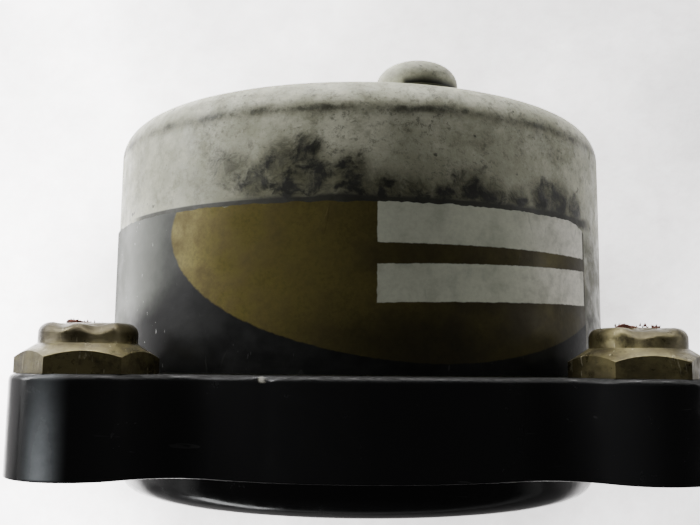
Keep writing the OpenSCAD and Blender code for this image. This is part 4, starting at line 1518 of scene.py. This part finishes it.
@dataclass
class Camera:
    """The photograph's viewpoint, found by fitting its outlines to the instrument's sizes."""

    place: Point = (-2.3731, 9.0048, 95.6591)
    yaw: float = 0.0147
    pitch: float = 0.1247
    roll: float = 0.0091
    focal_pixels: float = 837.95
    picture_width: float = 700
    sensor: float = 36
    clip: Pair = (0.005, 20)

    def build(self) -> None:
        """Makes the camera and gives it to the scene."""
        data = bpy.data.cameras.new("camera")
        data.sensor_width = self.sensor
        data.lens = self.focal_pixels * self.sensor / self.picture_width
        data.clip_start, data.clip_end = self.clip
        camera = link("camera", data)
        flat = math.cos(self.pitch)
        ahead = Vector((math.sin(self.yaw) * flat, math.sin(self.pitch), -math.cos(self.yaw) * flat))
        right = Vector((math.cos(self.yaw), 0, math.sin(self.yaw)))
        above = right.cross(ahead)
        tilted = math.cos(self.roll) * right + math.sin(self.roll) * above
        upright = -math.sin(self.roll) * right + math.cos(self.roll) * above
        turned = Matrix((tilted, upright, -ahead)).transposed().to_4x4()
        camera.matrix_world = Matrix.Translation(Vector(self.place) * MM) @ turned
        bpy.context.scene.camera = camera


@dataclass
class Lamp:
    """One soft rectangular lamp that points at the instrument."""

    name: str
    place: Point
    size: Pair
    power: float
    colour: RGB = (1, 1, 1)
    aim: Point = (0, 0.015, 0)

    def build(self) -> None:
        """Makes the lamp."""
        data = bpy.data.lights.new(self.name, "AREA")
        data.shape = "RECTANGLE"
        data.size, data.size_y = self.size
        data.energy = self.power
        data.color = self.colour
        lamp = link(self.name, data)
        lamp.visible_camera = False
        lamp.location = self.place
        lamp.rotation_mode = "QUATERNION"
        lamp.rotation_quaternion = (Vector(self.aim) - Vector(self.place)).to_track_quat("-Z", "Y")


@dataclass
class Studio:
    """Pale floor, a sky that is bright near the horizon and dim above, and soft lamps."""

    floor_z: float = -29.78
    floor_size: float = 4.0
    horizon: Pair = (9.0, 4.2)
    front_share: float = 0.12
    zenith: float = 0.085
    side_ends: Pair = (-0.7, 0.7)
    front_ends: Pair = (-0.10, 0.22)
    height_ends: Pair = (0.03, 0.27)
    lamps: Sequence[Lamp] = field(default_factory=lambda: (
        Lamp("left_window", (-0.50, 0.35, 0.05), (0.5, 0.20), 3.6, (0.98, 0.99, 1.0)),
        Lamp("back_window", (0.05, 0.70, 0.06), (0.9, 0.20), 4.0),
        Lamp("front_fill", (-0.45, -0.52, 0.02), (0.4, 0.16), 2.2, (0.97, 0.99, 1.0)),
    ))

    def build(self) -> None:
        """Makes the floor, the sky and the lamps."""
        shape = Shape()
        bmesh.ops.create_grid(shape.bm, x_segments=1, y_segments=1, size=self.floor_size / 2)
        bmesh.ops.translate(shape.bm, vec=mm(0, 0, self.floor_z), verts=shape.bm.verts[:])
        mesh = shape.to_mesh("floor")
        mesh.materials.append(FloorSheet().material())
        floor = link("floor", mesh)
        self.sky()
        for lamp in self.lamps:
            lamp.build()

    def sky(self) -> None:
        """Makes the sky: bright along the horizon, most of all to the left, and dim at the zenith."""
        world = bpy.data.worlds.new("sky")
        bpy.context.scene.world = world
        g = Graph(world, "BACKGROUND", "Generated")
        x, y, z = g.axes()
        sides = g.ramp(x, *self.side_ends, *self.horizon)
        front = g.ramp(x, *self.side_ends, *(glow * self.front_share for glow in self.horizon))
        horizon = g.ramp(y, *self.front_ends, front, sides)
        g.fill(g.shader.inputs["Strength"], g.ramp(z, *self.height_ends, horizon, self.zenith))
        g.fill(g.shader.inputs["Color"], (1, 1, 1))


def dress_frame() -> None:
    """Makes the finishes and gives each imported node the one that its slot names."""
    made = {}
    for finish in FINISHES:
        material = finish.material()
        made[finish.name] = material
        material.name = FINISH_PREFIX + finish.name
    for part in frame["record"]["subparts"]:
        node = frame["nodes"][part["node"]]
        for holder in node.material_slots:
            holder.material = made[part["material_slot"]]
        log.info("%s: %s", part["node"], part["material_slot"])


def main() -> None:
    """Builds the camera, the finishes, each sub-assembly and the studio."""
    logging.basicConfig(level=logging.INFO, format="%(name)s %(message)s")
    Camera().build()
    dress_frame()
    for part in (FrontCase(), RearCover(), DataLabel(), LockNuts(), Terminals(), DialFace()):
        log.info("building %s", type(part).__name__)
        part.build()
    Studio().build()


if __name__ == "__main__":
    main()
